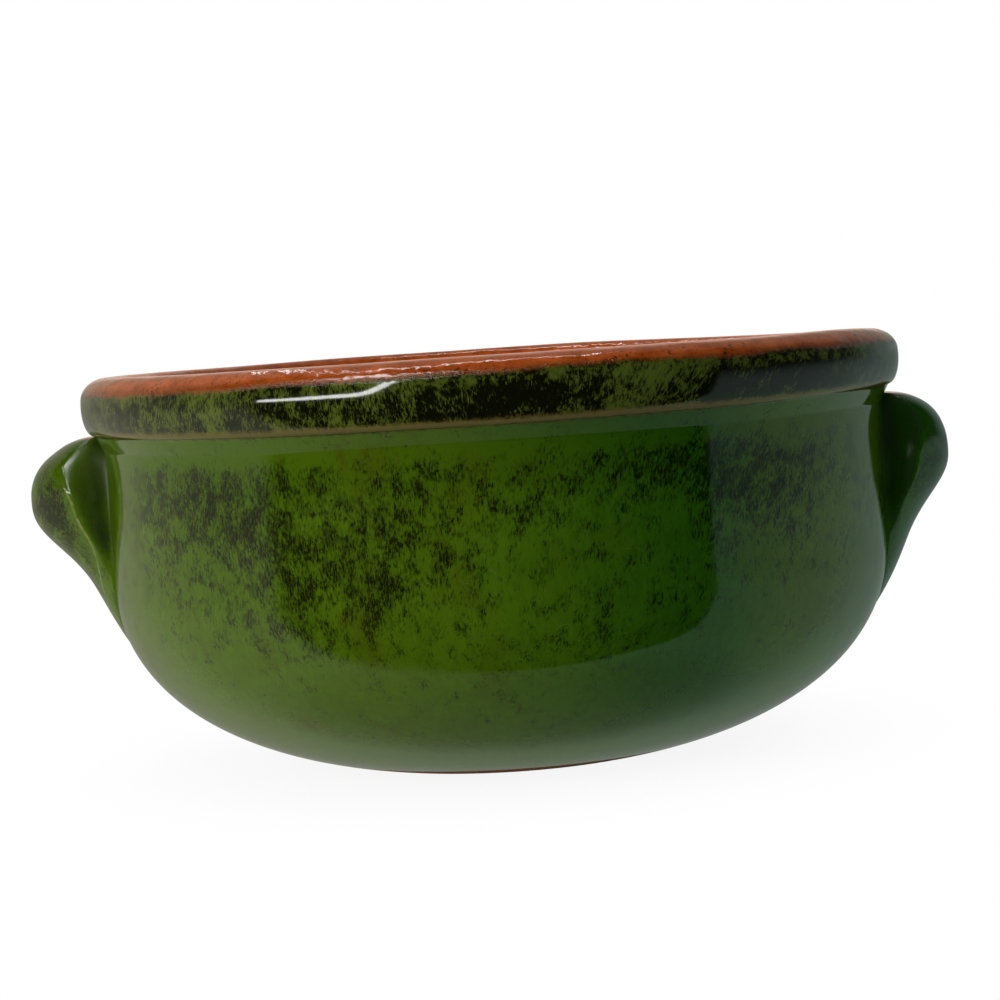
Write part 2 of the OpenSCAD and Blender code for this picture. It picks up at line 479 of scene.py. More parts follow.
    def amber_path(self) -> list[Point]:
        """Draw the shoulder, crest and lip.

        Returns:
            The points, from the green coat's edge to the inner wall.
        """
        crest_r = self.rim_r - self.shoulder_w
        inner_r = self.neck_r - self.wall_t
        outer = self.arc((crest_r, self.shoulder_z), self.shoulder_w, self.shoulder_h,
                         self.amber_angle, 90, self.shoulder_steps)
        lip = self.arc((crest_r, self.bowl_h - self.lip_h), crest_r - inner_r, self.lip_h,
                       90, 180, self.lip_steps)
        return outer + lip[1:]

    def lining_path(self) -> list[Point]:
        """Draw the inside from the lip down to the middle of the floor.

        Returns:
            The points, closer together near the floor.
        """
        heights = spaced(self.bowl_h - self.lip_h, self.belly_h, self.lining_steps)
        shares = [1 - (1 - share) ** 2 for share in spaced(0.0, 1.0, self.floor_steps, 1)]
        heights += [mix(self.belly_h, self.floor_t, share) for share in shares]
        return [(self.inner_r(z), z) for z in heights]

    def foot_path(self) -> list[Point]:
        """Draw the bare foot from the middle of its dish out to the green coat.

        Returns:
            The points, without the one at the coat's edge.
        """
        slope = self.arc((self.dish_r, 0.0), self.dish_slope_w, self.dish_d,
                         90, self.dish_end, self.dish_steps)
        ring = [(r, 0.0) for r in spaced(self.dish_r + self.dish_slope_w, self.foot_r, self.foot_steps)]
        edge = [(self.outer_r(z), z) for z in spaced(0.0, self.bare_foot_h, self.foot_steps)[1:-1]]
        return [(0.0, self.dish_d)] + slope + ring + edge

    def under(self, path: Sequence[Point]) -> list[Point]:
        """Draw the line one glaze coat below a finished one.

        Args:
            path: The finished line.

        Returns:
            As many points, each moved along the line's normal.
        """
        inset = []
        for k, (r, z) in enumerate(path):
            ahead = path[min(k + 1, len(path) - 1)]
            behind = path[max(k - 1, 0)]
            run, rise = ahead[0] - behind[0], ahead[1] - behind[1]
            size = math.hypot(run, rise)
            inset.append((max(r - self.glaze_t * rise / size, 0.0), z + self.glaze_t * run / size))
        return inset


@dataclass(frozen=True)
class KilnWarp:
    """How far throwing and firing moved the crock from its ideal shape."""

    depth: float = 0.22 * MM
    waves_per_metre: float = 24.0
    lean: float = 0.28 * MM
    nod: float = 0.2 * MM
    sag: float = 0.75 * MM
    tuck: float = 0.6 * MM
    sag_across: Span = (12 * MM, 60 * MM)
    sag_back: Span = (-40 * MM, 20 * MM)

    def into(self, board: Board, geometry: Any, form: CrockForm) -> Term:
        """Add the nodes that warp a geometry.

        Args:
            board: The geometry tree.
            geometry: The geometry's socket.
            form: The crock's form, for the height of the collar.

        Returns:
            The warped geometry.
        """
        place = board.term("GeometryNodeInputPosition")
        kept = board.term("GeometryNodeStoreNamedAttribute", {"data_type": "FLOAT_VECTOR", "domain": "POINT"},
                          {"Geometry": geometry, "Name": SPACE, "Value": place})
        noise = board.noise(place, self.waves_per_metre, 1.0, output="Color")
        centred = board.term("ShaderNodeVectorMath", {"operation": "SUBTRACT"},
                             {0: noise, 1: (0.5, 0.5, 0.5)})
        x, y, z = board.axes(place)
        still = z.step(form.bare_foot_h, form.belly_h / 2)
        shift = board.term("ShaderNodeVectorMath", {"operation": "SCALE"},
                           {0: centred, "Scale": still * (2 * self.depth)})
        lift = z.step(form.flare_z - form.collar_h / 2, form.collar_z) * x * (self.lean / form.rim_r)
        rim = z.step(form.collar_z, form.shoulder_z)
        lift = lift + rim * (-y).largest(0.0) * (self.nod / form.rim_r)
        lift = lift - rim * x.step(*self.sag_across) * y.step(*self.sag_back) * self.sag
        low = z.step(form.flare_z, form.collar_z) * (1 - z.step(form.collar_z + MM, form.shoulder_z))
        lift = lift + low * x * x * (self.tuck / form.rim_r ** 2)
        raised = board.term("ShaderNodeCombineXYZ", sockets={"Z": lift})
        offset = board.term("ShaderNodeVectorMath", {"operation": "ADD"}, {0: shift, 1: raised})
        return board.term("GeometryNodeSetPosition", sockets={"Geometry": kept, "Offset": offset})


class Maker:
    """Turns a geometry tree and a starting mesh into a plain finished mesh."""

    def __init__(self, name: str, inputs: Mapping[str, str]) -> None:
        """Start a tree with a geometry input, the named inputs and a geometry output.

        Args:
            name: The tree's name.
            inputs: The inputs' names and socket types.
        """
        self.tree = bpy.data.node_groups.new(name, "GeometryNodeTree")
        self.tree.interface.new_socket("Geometry", in_out="INPUT", socket_type="NodeSocketGeometry")
        for title, kind in inputs.items():
            self.tree.interface.new_socket(title, in_out="INPUT", socket_type=kind)
        self.tree.interface.new_socket("Geometry", in_out="OUTPUT", socket_type="NodeSocketGeometry")
        self.board = Board(self.tree)
        self.start = self.board.add("NodeGroupInput")

    def input(self, name: str) -> Term:
        """Return one of the tree's inputs."""
        return Term(self.board, self.start.outputs[name])

    def close(self, geometry: Term) -> None:
        """End the tree: real meshes, smooth, with the material from the Material input.

        Args:
            geometry: What the tree has made.
        """
        real = self.board.term("GeometryNodeRealizeInstances", sockets={0: geometry})
        soft = self.board.term("GeometryNodeSetShadeSmooth", sockets={"Geometry": real})
        dressed = self.board.term("GeometryNodeSetMaterial",
                                  sockets={"Geometry": soft, "Material": self.input("Material")})
        self.board.add("NodeGroupOutput", sockets={"Geometry": dressed})

    def make(self, name: str, mesh: bpy.types.Mesh, values: Mapping[str, Any],
             crease: float = 40.0) -> bpy.types.Object:
        """Run the tree on a mesh.

        Args:
            name: The piece's name.
            mesh: The mesh that the tree starts from.
            values: Values for the tree's named inputs.
            crease: Angle in degrees past which an edge stays sharp.

        Returns:
            An object at the origin whose plain mesh is the tree's result.
        """
        seed = placed(name + "_start", mesh)
        modifier = seed.modifiers.new("make", "NODES")
        modifier.node_group = self.tree
        for item in self.tree.interface.items_tree:
            if item.in_out == "INPUT" and item.name in values:
                modifier[item.identifier] = values[item.name]
        graph = bpy.context.evaluated_depsgraph_get()
        made = bpy.data.meshes.new_from_object(seed.evaluated_get(graph))
        made.name = name
        made.set_sharp_from_angle(angle=math.radians(crease))
        seed.modifiers.remove(modifier)
        bpy.data.objects.remove(seed)
        return placed(name, made)


def outline_mesh(name: str, points: Sequence[Point]) -> bpy.types.Mesh:
    """Make a mesh of loose points for an outline.

    Args:
        name: The mesh's name.
        points: Radius and height of each point.

    Returns:
        The mesh, in the XZ plane.
    """
    mesh = bpy.data.meshes.new(name)
    mesh.from_pydata([(r, 0.0, z) for r, z in points], [], [])
    return mesh


class Lathe(Maker):
    """The wheel: turns an outline round the Z axis and warps it as the kiln did."""

    WELD = 0.002 * MM

    def __init__(self, form: CrockForm, warp: KilnWarp) -> None:
        """Build the tree: a grid whose rows are moved to the outline's points and turned.

        Args:
            form: The crock's form.
            warp: What the kiln does to it.
        """
        super().__init__("lathe", {"Turns": "NodeSocketInt", "Outline Points": "NodeSocketInt",
                                   "Weld": "NodeSocketFloat", "Material": "NodeSocketMaterial"})
        board = self.board
        rows, turns = self.input("Outline Points"), self.input("Turns")
        grid = board.term("GeometryNodeMeshGrid", sockets={
            "Size X": rows - 1, "Size Y": turns, "Vertices X": rows, "Vertices Y": turns + 1})
        place = board.term("GeometryNodeInputPosition")
        across, along, _ = board.axes(place)
        row = board.term("FunctionNodeFloatToInt", {"rounding_mode": "ROUND"}, {0: across + (rows - 1) / 2})
        point = board.term("GeometryNodeSampleIndex", {"data_type": "FLOAT_VECTOR", "domain": "POINT"},
                           {"Geometry": self.input("Geometry"), "Index": row, "Value": place})
        turn = (along / turns + 0.5) * (2 * math.pi)
        swung = board.term("ShaderNodeVectorRotate", {"rotation_type": "Z_AXIS"},
                           {"Vector": point, "Angle": turn})
        turned = board.term("GeometryNodeSetPosition", sockets={"Geometry": grid, "Position": swung})
        welded = board.term("GeometryNodeMergeByDistance",
                            sockets={"Geometry": turned, "Distance": self.input("Weld")})
        self.close(warp.into(board, welded, form))

    def turn(self, name: str, outline: Sequence[Point], material: bpy.types.Material,
             turns: int = 240, closed: bool = True) -> bpy.types.Object:
        """Turn an outline.

        Args:
            name: The piece's name.
            outline: Radius and height of each point.
            material: The finish.
            turns: Steps round the axis.
            closed: Whether the outline's end joins its start.

        Returns:
            The piece, with its faces pointing out.
        """
        ring = list(outline) + ([outline[0]] if closed else [])
        area = sum(a[0] * b[1] - b[0] * a[1] for a, b in zip(ring, ring[1:]))
        if area > 0:
            ring.reverse()
        return self.make(name, outline_mesh(name, ring), {
            "Turns": turns, "Outline Points": len(ring), "Weld": self.WELD, "Material": material})


class Kiln(Maker):
    """Warps a finished mesh as the bowl is warped."""

    CREASE = 62.0

    def __init__(self, form: CrockForm, warp: KilnWarp) -> None:
        """Build the tree."""
        super().__init__("kiln", {"Material": "NodeSocketMaterial"})
        self.close(warp.into(self.board, self.input("Geometry"), form))

    def fire(self, name: str, mesh: bpy.types.Mesh, material: bpy.types.Material) -> bpy.types.Object:
        """Return the warped piece of a mesh."""
        return self.make(name, mesh, {"Material": material}, crease=self.CREASE)


@dataclass(frozen=True)
class SpongePatch:
    """A place on the outside where black slip was dabbed."""

    azimuth: float
    height: float
    half_width: float
    half_height: float
    strength: float

    def cover(self, azimuth: np.ndarray, height: np.ndarray) -> np.ndarray:
        """Return how densely the patch covers points.

        Args:
            azimuth: Degrees from the front towards the right handle.
            height: Heights in millimetres.

        Returns:
            The cover of each point, from 0 to the patch's strength.
        """
        away = (azimuth - self.azimuth + 180) % 360 - 180
        square = (away / self.half_width) ** 2 + ((height - self.height) / self.half_height) ** 2
        return self.strength * np.exp(-square)


def patches(*rows: tuple[float, ...]) -> tuple[SpongePatch, ...]:
    """Return a patch for each row of azimuth, height, half width, half height and strength."""
    return tuple(SpongePatch(*row) for row in rows)


class SpongeWork:
    """All the dabs: those that the front and the collar show, and seeded ones round the back.

    Angles are in degrees and lengths in millimetres. The fades on the wall and on the collar are where each
    starts, counted from the flare's foot and from the collar's lower edge, and how long it is.
    """

    FRONT = patches(
        (-52, 53, 13, 8, 0.55), (-41, 50, 9, 7, 0.42), (-33, 48, 8, 7, 0.52), (-30, 40, 14, 9, 0.36),
        (-20, 44, 10, 9, 0.46), (-12, 50, 9, 6, 0.32), (-12, 38, 8, 9, 0.4), (-25, 31, 9, 7, 0.42),
        (-5, 52, 7, 6, 0.36), (-4, 41, 6, 8, 0.24), (-54, 42, 14, 10, 0.34), (6, 50, 8, 7, 0.34),
        (14, 54, 8, 5, 0.34), (6, 38, 12, 16, 0.16), (13, 31, 2, 9, 0.24), (22, 55, 9, 6, 0.46),
        (31, 51, 8, 8, 0.5), (27, 40, 8, 7, 0.22), (20, 34, 10, 8, 0.12), (38, 50, 8, 7, 0.5),
        (47, 52, 9, 6, 0.44), (58, 47, 12, 12, 0.3), (-84, 49, 5, 6, 0.9), (2, 26, 14, 6, 0.2),
        (-28, 56, 20, 5, 0.34), (40, 40, 9, 9, 0.24), (-38, 33, 9, 6, 0.26), (86, 51, 5, 6, 0.6)
    )
    COLLAR = patches(
        (-66, 67, 20, 5, 0.22), (-30, 66, 8, 9, 0.1), (-8, 65, 12, 5, 0.3), (5, 67, 9, 4, 0.34),
        (28, 65, 5, 5, 0.3), (42, 66, 14, 9, 0.42), (17, 64.5, 7, 3, -0.26), (20, 68.6, 11, 1.6, -0.3),
        (70, 66, 16, 9, 0.2), (100, 66, 16, 9, 0.3), (150, 66, 20, 9, 0.3), (205, 66, 14, 9, 0.3),
        (248, 66, 12, 9, 0.25)
    )
    BACK_COUNT = 14
    BACK_SPAN = (75, 285)
    BACK_PLACE = (0.2, 0.8)
    BACK_HEIGHT = (35, 52)
    BACK_HALF_WIDTH = (8, 16)
    BACK_HALF_HEIGHT = (6, 12)
    BACK_STRENGTH = (0.45, 0.85)
    WALL_FADE = (0.2, 1.6)
    COLLAR_FADE = (0.4, 0.8)
    COLLAR_STAIN = 0.54

    def __init__(self, form: CrockForm, seed: int = 11) -> None:
        """Place the back's patches.

        Args:
            form: The crock's form.
            seed: Seed of the back's layout.
        """
        self.form = form
        draw = np.random.default_rng(seed)
        self.patches = list(self.FRONT)
        for k in range(self.BACK_COUNT):
            azimuth = mix(*self.BACK_SPAN, (k + draw.uniform(*self.BACK_PLACE)) / self.BACK_COUNT)
            self.patches.append(SpongePatch(
                azimuth, draw.uniform(*self.BACK_HEIGHT), draw.uniform(*self.BACK_HALF_WIDTH),
                draw.uniform(*self.BACK_HALF_HEIGHT), draw.uniform(*self.BACK_STRENGTH)))

    def density(self, points: np.ndarray) -> np.ndarray:
        """Return how densely points are dabbed.

        Args:
            points: The unwarped points in metres.

        Returns:
            The density at each point, from 0 to 1.
        """
        azimuth = np.degrees(np.arctan2(points[:, 0], -points[:, 1]))
        height = points[:, 2] / MM
        clear = np.ones(len(points))
        for patch in self.patches:
            clear *= 1 - patch.cover(azimuth, height)
        wall_top, wall_fade = self.WALL_FADE
        wall = soft_step(-height, -(self.form.flare_z / MM + wall_top), wall_fade)
        collar_foot, collar_fade = self.COLLAR_FADE
        collar = soft_step(height - self.form.collar_z / MM, collar_foot, collar_fade)
        stain = sum(patch.cover(azimuth, height) for patch in self.COLLAR)
        return np.clip((1 - clear) * wall + (self.COLLAR_STAIN + stain) * collar, 0, 1)

    def mark(self, piece: bpy.types.Object, share: Any = 1.0) -> None:
        """Write the dabs' density on a piece.

        Args:
            piece: The piece, with its unwarped positions kept as an attribute.
            share: What to multiply the density by, a number or one for each point.
        """
        mesh = piece.data
        points = np.zeros(len(mesh.vertices) * 3, np.float32)
        mesh.attributes[SPACE].data.foreach_get("vector", points)
        values = (self.density(points.reshape(-1, 3)) * share).astype(np.float32)
        mesh.attributes.new(DABS, "FLOAT", "POINT").data.foreach_set("value", values)


class Surface:
    """A new material with its board, its shader and the crock's own space in millimetres."""

    GLASS_IOR = 1.5

    def __init__(self, name: str) -> None:
        """Start the material.

        Args:
            name: The material's name.
        """
        self.material = bpy.data.materials.new(name)
        self.board = Board.fresh(self.material)
        self.shader = self.board.add("ShaderNodeBsdfPrincipled", sockets={"IOR": self.GLASS_IOR})
        self.board.add("ShaderNodeOutputMaterial", sockets={"Surface": self.shader.outputs[0]})
        self.space = self.board.stretch(self.board.attribute(SPACE, "Vector"), (1 / MM,) * 3)

    def finish(self, colour: Term, rough: Term, height: Term) -> bpy.types.Material:
        """Link what varies over the surface.

        Args:
            colour: The base colour.
            rough: The roughness.
            height: The relief in millimetres.

        Returns:
            The finished material.
        """
        relief = self.board.term("ShaderNodeBump", sockets={"Strength": 1.0, "Distance": 1.0,
                                                            "Height": height * MM})
        for name, term in (("Base Color", colour), ("Roughness", rough), ("Normal", relief)):
            self.board.tree.links.new(term.socket, self.shader.inputs[name])
        return self.material


@dataclass(frozen=True)
class Terracotta:
    """Bare fired clay: matt and gritty, with turning rings."""

    light: Colour = paint(186, 106, 68)
    dark: Colour = paint(140, 72, 44)
    grit: Colour = paint(92, 56, 40)

    def material(self) -> bpy.types.Material:
        """Make the material.

        Returns:
            The material, with rings that follow the distance from the axis.
        """
        surface = Surface("terracotta")
        board, space = surface.board, surface.space
        x, y, _ = board.axes(space)
        rings = board.noise(board.term("ShaderNodeCombineXYZ", sockets={"X": radius(x, y)}), 0.9, 4, 0.6)
        grain = board.noise(space, 3.0, 3, 0.7)
        cloud = board.noise(space, 0.12, 4, 0.6).step(0.35, 0.65)
        specks = board.noise(space, 1.7, 2, 0.5).step(0.66, 0.72)
        base = board.blend(cloud * 0.6 + grain * 0.4, self.dark, self.light)
        colour = board.blend(specks * 0.6, base, self.grit)
        return surface.finish(colour, 0.75 + grain * 0.15, rings * 0.10 + grain * 0.05 - specks * 0.04)


@dataclass(frozen=True)
class SpongedGlaze:
    """Green glaze over dabs of black slip, which gives way to clear amber over the rim.

    Places are in millimetres. A span says where a change begins and where it is complete: names in _x count
    across towards the right handle, names in _z up, and names in _r out from the axis.
    """

    fresh: Colour = paint(72, 98, 12)
    deep: Colour = paint(59, 84, 6)
    # Darker, cooler copies of the greens, painted as shade on the right side, away from the key lamp.
    fresh_shaded: Colour = paint(36, 79, 6)
    deep_shaded: Colour = paint(27, 66, 3)
    olive: Colour = paint(62, 60, 4)
    # Painted shade: near black, for the handles' hollows by the wall.
    darkened: Colour = paint(10, 24, 2)
    slip: Colour = paint(17, 17, 5)
    # The slip's copy, painted darker and cooler as shade on the right side.
    slip_shaded: Colour = paint(5, 14, 2)
    slip_thick: Colour = paint(5, 5, 2)
    dusky: Colour = paint(86, 88, 38)
    thin: Colour = paint(88, 72, 38)
    # Pale line on the handles' ridge and seam: partly the coat thinning over the edge, partly a painted
    # highlight.
    ridge: Colour = paint(140, 140, 92)
    scratch: Colour = paint(120, 132, 78)
    orange: Colour = paint(186, 90, 40)
    burnt: Colour = paint(148, 64, 14)
    iron: Colour = paint(58, 24, 10)
    shoulder_brown: Colour = paint(96, 44, 10)
    amber_edge: float = 70.6
    thin_z: Span = (62.15, 63.3)
    collar_z: Span = (62.0, 64.0)
    mottle_z: Span = (68.4, 70.1)
    lip_r: Span = (69.0, 71.0)
    lip_z: Span = (66.0, 67.0)
    lip_lift: float = 5.0
    # Heights over which painted shade under the collar darkens the top of the wall.
    top_shade_z: Span = (48.0, 58.0)
    # Where painted shade on the right side comes in, where it gives way before the right handle, and where it
    # returns on the handle.
    shade_x: Span = (-22.0, 40.0)
    unshaded_x: Span = (32.0, 50.0)
    lug_x: Span = (66.0, 72.0)
    slip_shade_x: Span = (-20.0, 35.0)
    dab_z: float = 46.0
    dab_slope_x: Span = (-30.0, 40.0)
    dab_fan_x: Span = (-20.0, 20.0)
    dab_fan_top: float = 50.0
    turn_per_mm: float = 0.0139
    dab_least: float = -0.3
    dab_most: float = 0.36
    dab_full: Span = (0.7, 1.0)
    broken_z: Span = (61.0, 63.0)
    low_amber_x: Span = (25.0, 60.0)
    scratch_w: Span = (0.0008, 0.002)

    def _lip(self, surface: Surface) -> Term:
        """Return 1 on the inner side of the rim, where there is no green."""
        x, y, z = surface.board.axes(surface.space)
        return (1 - radius(x, y).step(*self.lip_r)) * z.step(*self.lip_z)

    def _dabs(self, surface: Surface) -> Term:
        """Dab the black slip on: short slanting strokes in clusters.

        Args:
            surface: The new material.

        Returns:
            The slip's cover, from 0 to just under 1.
        """
        board = surface.board
        x, _, z = board.axes(surface.space)
        sway = board.noise(surface.space, 0.02, 0)
        slope = 0.02 - x.step(*self.dab_slope_x) * 0.36 + (sway - 0.5) * 0.6
        dip = z.least(self.dab_fan_top) - self.dab_z
        fan = dip * dip * (1 - x.step(*self.dab_fan_x)) * 0.004
        turn = ((z - self.dab_z) * slope - fan) * self.turn_per_mm
        slanted = board.term("ShaderNodeVectorRotate", {"rotation_type": "Z_AXIS"},
                             {"Vector": surface.space, "Angle": turn})
        strokes = board.noise(slanted, 2.3, 3, 0.65, up=0.5)
        hairs = board.noise(slanted, 6.0, 2, 0.7, up=0.17)
        clusters = board.noise(slanted, 0.36, 2, 0.55, up=0.85)
        drifts = board.noise(surface.space, 0.1, 2)
        density = board.attribute(DABS, "Fac")
        level = (strokes - 0.5) * 1.5 + (hairs - 0.5) * 1.35 + (clusters - 0.5) * 1.4 + (drifts - 0.5) * 0.4
        level = level + (density - 0.5) * 0.85
        bare = board.noise(slanted, 4.2, 2, 0.6, up=0.3).step(0.46, 0.66)
        broken = bare * 0.35 * (1 - z.step(*self.broken_z))
        cover = level.step(self.dab_least, self.dab_most) * (1 - broken)
        return (cover + density.step(*self.dab_full) * 0.2).least(0.97)

    def _green(self, surface: Surface) -> Term:
        """Mix the green coat with its clouds, brownish drifts and hair scratches.

        Args:
            surface: The new material.

        Returns:
            The colour, with painted shade: darker, cooler greens towards the right and a darker top of the
                wall under the collar.
        """
        board, space = surface.board, surface.space
        x, _, z = board.axes(space)
        cloud = board.noise(space, 0.05, 3).step(0.3, 0.7)
        fibre = board.noise(space, 0.9, 4, 0.65, up=0.35).step(0.3, 0.7)
        drift = board.noise(space, 0.1, 5, 0.65, up=0.6).step(0.5, 0.68)
        # Painted shade: the greens turn darker and cooler towards the right, away from the key lamp, except
        # in a band before the right handle.
        right_shade = x.step(*self.shade_x) * (1 - x.step(*self.unshaded_x) * (1 - x.step(*self.lug_x)) * 0.8)
        # Painted shade: less of the fresh green towards the top of the wall, under the collar.
        fresh_share = cloud * 0.5 + fibre * 0.5 - z.step(*self.top_shade_z) * 0.9
        base = board.blend(fresh_share.largest(0.0), board.blend(right_shade, self.deep, self.deep_shaded),
                           board.blend(right_shade, self.fresh, self.fresh_shaded))
        stained = board.blend(drift * (0.25 + fibre * 0.4) * (1 - right_shade), base, self.olive)
        bends = abs(board.noise(space, 0.11, 1) - 0.5)
        hair = (1 - bends.step(*self.scratch_w)) * board.noise(space, 0.13, 1).step(0.58, 0.68)
        dust = board.noise(space, 2.6, 1).step(0.79, 0.83)
        return board.blend((hair * 0.22).largest(dust * 0.4), stained, self.scratch)

    def _amber(self, surface: Surface) -> Term:
        """Mix the clear coat over the orange clay, with pits and iron specks.

        Args:
            surface: The new material.

        Returns:
            The colour, browner along the green coat's edge.
        """
        board, space = surface.board, surface.space
        _, _, z = board.axes(space)
        z = z + self._lip(surface) * self.lip_lift
        cloud = board.noise(space, 0.3, 4, 0.7).step(0.3, 0.7)
        pits = board.noise(space, 2.0, 2).step(0.62, 0.7)
        near = 1 - z.step(self.amber_edge, self.amber_edge + 2.2)
        groups = board.noise(space, 0.11, 2).step(0.47, 0.6)
        specks = (board.noise(space, 1.3, 3, 0.7) + near * 0.06).step(0.6, 0.66) * groups
        base = board.blend(cloud, self.burnt, self.orange)
        browned = board.blend((1 - z.step(self.amber_edge - 0.2, self.amber_edge + 1.4)) * 0.7, base,
                              self.shoulder_brown)
        return board.blend((pits * 0.5).largest(specks * 0.9), browned, self.iron)

    def material(self, name: str) -> bpy.types.Material:
        """Make the material.

        Args:
            name: The name of the coat that wears it.

        Returns:
            The material, which is the same on both sides of a seam between two coats.
        """
        surface = Surface(name)
        board, space = surface.board, surface.space
        x, _, z = board.axes(space)
        wander = board.noise(space, 0.06, 2) - 0.5
        ragged = board.noise(space, 0.9, 4, 0.7, up=1.3) - 0.5
        edge = self.amber_edge + wander * 1.8 + ragged * 1.2 - (-x).step(*self.low_amber_x) * 0.5
        amber = z.step(edge - 0.75, edge + 0.4).largest(self._lip(surface))
        dabs = self._dabs(surface)
        mottle = (z - wander).inside(*self.mottle_z, 0.5) * board.noise(space, 0.35, 3, 0.7).step(0.48, 0.6)
        low, high = self.thin_z
        top = high + ragged * 1.6
        worn = z.step(low - 0.2, low + 0.15) * (1 - z.step(top - 0.5, top + 0.5))
        flecks = board.noise(space, 1.4, 3, 0.7, up=0.7).step(0.5, 0.66)
        # Painted shade: a flecked dark line in the crease at the collar's lower edge.
        crease = (z + ragged * 0.5).inside(low - 0.25, low, 0.1) * board.noise(space, 0.5, 2).step(0.45, 0.6)
        # On the handles, the part above 0 is the ridge's thin coat with a painted highlight, and the part
        # below 0, deep, is painted shade in the hollows.
        run = board.attribute(RIDGE_AND_HOLLOW, "Fac")
        thin_and_lit, deep = run.largest(0.0), (-run).largest(0.0)
        # Painted shade darkens the handles' hollows.
        body = board.blend(deep * deep * 0.9, self._green(surface), self.darkened)
        collar = z.step(*self.collar_z)
        # The slip is painted darker and cooler towards the right, as shade.
        wall_slip = board.blend(x.step(*self.slip_shade_x), self.slip, self.slip_shaded)
        slip = board.blend(collar, wall_slip, self.slip_thick)
        muted = board.blend(collar * 0.5, body, self.dusky)
        green = board.blend(dabs * (1 - mottle * 0.6), muted, slip)
        lined = board.blend(worn * (0.9 - dabs * 0.3 - flecks * 0.3), green, self.thin)
        patchy = board.noise(space, 0.8, 3, 0.7).step(0.38, 0.6) * 0.6 + 0.2
        # The ridge and seam lines are painted pale: partly a thin coat over the edge, partly a painted
        # highlight.
        ridge_thin_lit = board.blend(thin_and_lit * patchy, lined, self.ridge)
        crease_shaded = board.blend(crease * 0.35, ridge_thin_lit, self.slip)
        colour = board.blend(amber, crease_shaded, self._amber(surface))
        peel = board.noise(space, 0.45, 2)
        swell = board.noise(space, 0.16, 2, up=2.5)
        ripple = board.noise(space, 0.6, 2, up=1.6)
        rim_waves = swell * 0.3 + ripple * 0.07 + board.noise(space, 2.0, 2) * 0.012
        height = peel * 0.008 + amber * rim_waves + thin_and_lit * 0.03
        return surface.finish(colour, 0.05 + peel * 0.03 + amber * 0.02 + deep * 0.5, height)


@dataclass(frozen=True)
class HoneyLining:
    """Clear honey glaze over the inside, which pools darker on the floor, with fine crazing."""

    honey: Colour = paint(168, 94, 52)
    warm: Colour = paint(142, 74, 36)
    darkening: Colour = paint(104, 50, 22)
    craze: Colour = paint(86, 44, 26)
    pool_z: Span = (7.0, 22.0)

    def material(self) -> bpy.types.Material:
        """Make the material.

        Returns:
            The material, with turning rings on the wall and on the floor.
        """
        surface = Surface("honey_lining")
        board, space = surface.board, surface.space
        x, y, z = board.axes(space)
        cloud = board.noise(space, 0.06, 4, 0.6).step(0.3, 0.7)
        rings = board.noise(board.stretch(space, (0.03, 0.03, 1)), 0.28, 3)
        floor_rings = board.noise(board.term("ShaderNodeCombineXYZ", sockets={"X": radius(x, y)}), 0.2, 3)
        low = 1 - z.step(*self.pool_z)
        crack = board.term("ShaderNodeTexVoronoi", {"feature": "DISTANCE_TO_EDGE"},
                           {"Vector": space + board.noise(space, 0.4, 2, output="Color"), "Scale": 0.3})
        lines = (1 - crack.step(0.0, 0.03)) * board.noise(space, 0.1, 2).step(0.45, 0.6)
        specks = board.noise(space, 1.1, 3, 0.7).step(0.66, 0.72)
        base = board.blend(cloud, self.warm, self.honey)
        darkened = board.blend(low * 0.6 + (rings - 0.5) * 0.5, base, self.darkening)
        colour = board.blend((lines * 0.35).largest(specks * 0.6), darkened, self.craze)
        height = rings * 0.3 + floor_rings * low * 0.3 + board.noise(space, 0.4, 2) * 0.015 - lines * 0.004
        return surface.finish(colour, 0.07 + cloud * 0.04, height)


class Side(Enum):
    """The side of the crock that a handle is on, and its sign along X."""

    LEFT = -1
    RIGHT = 1


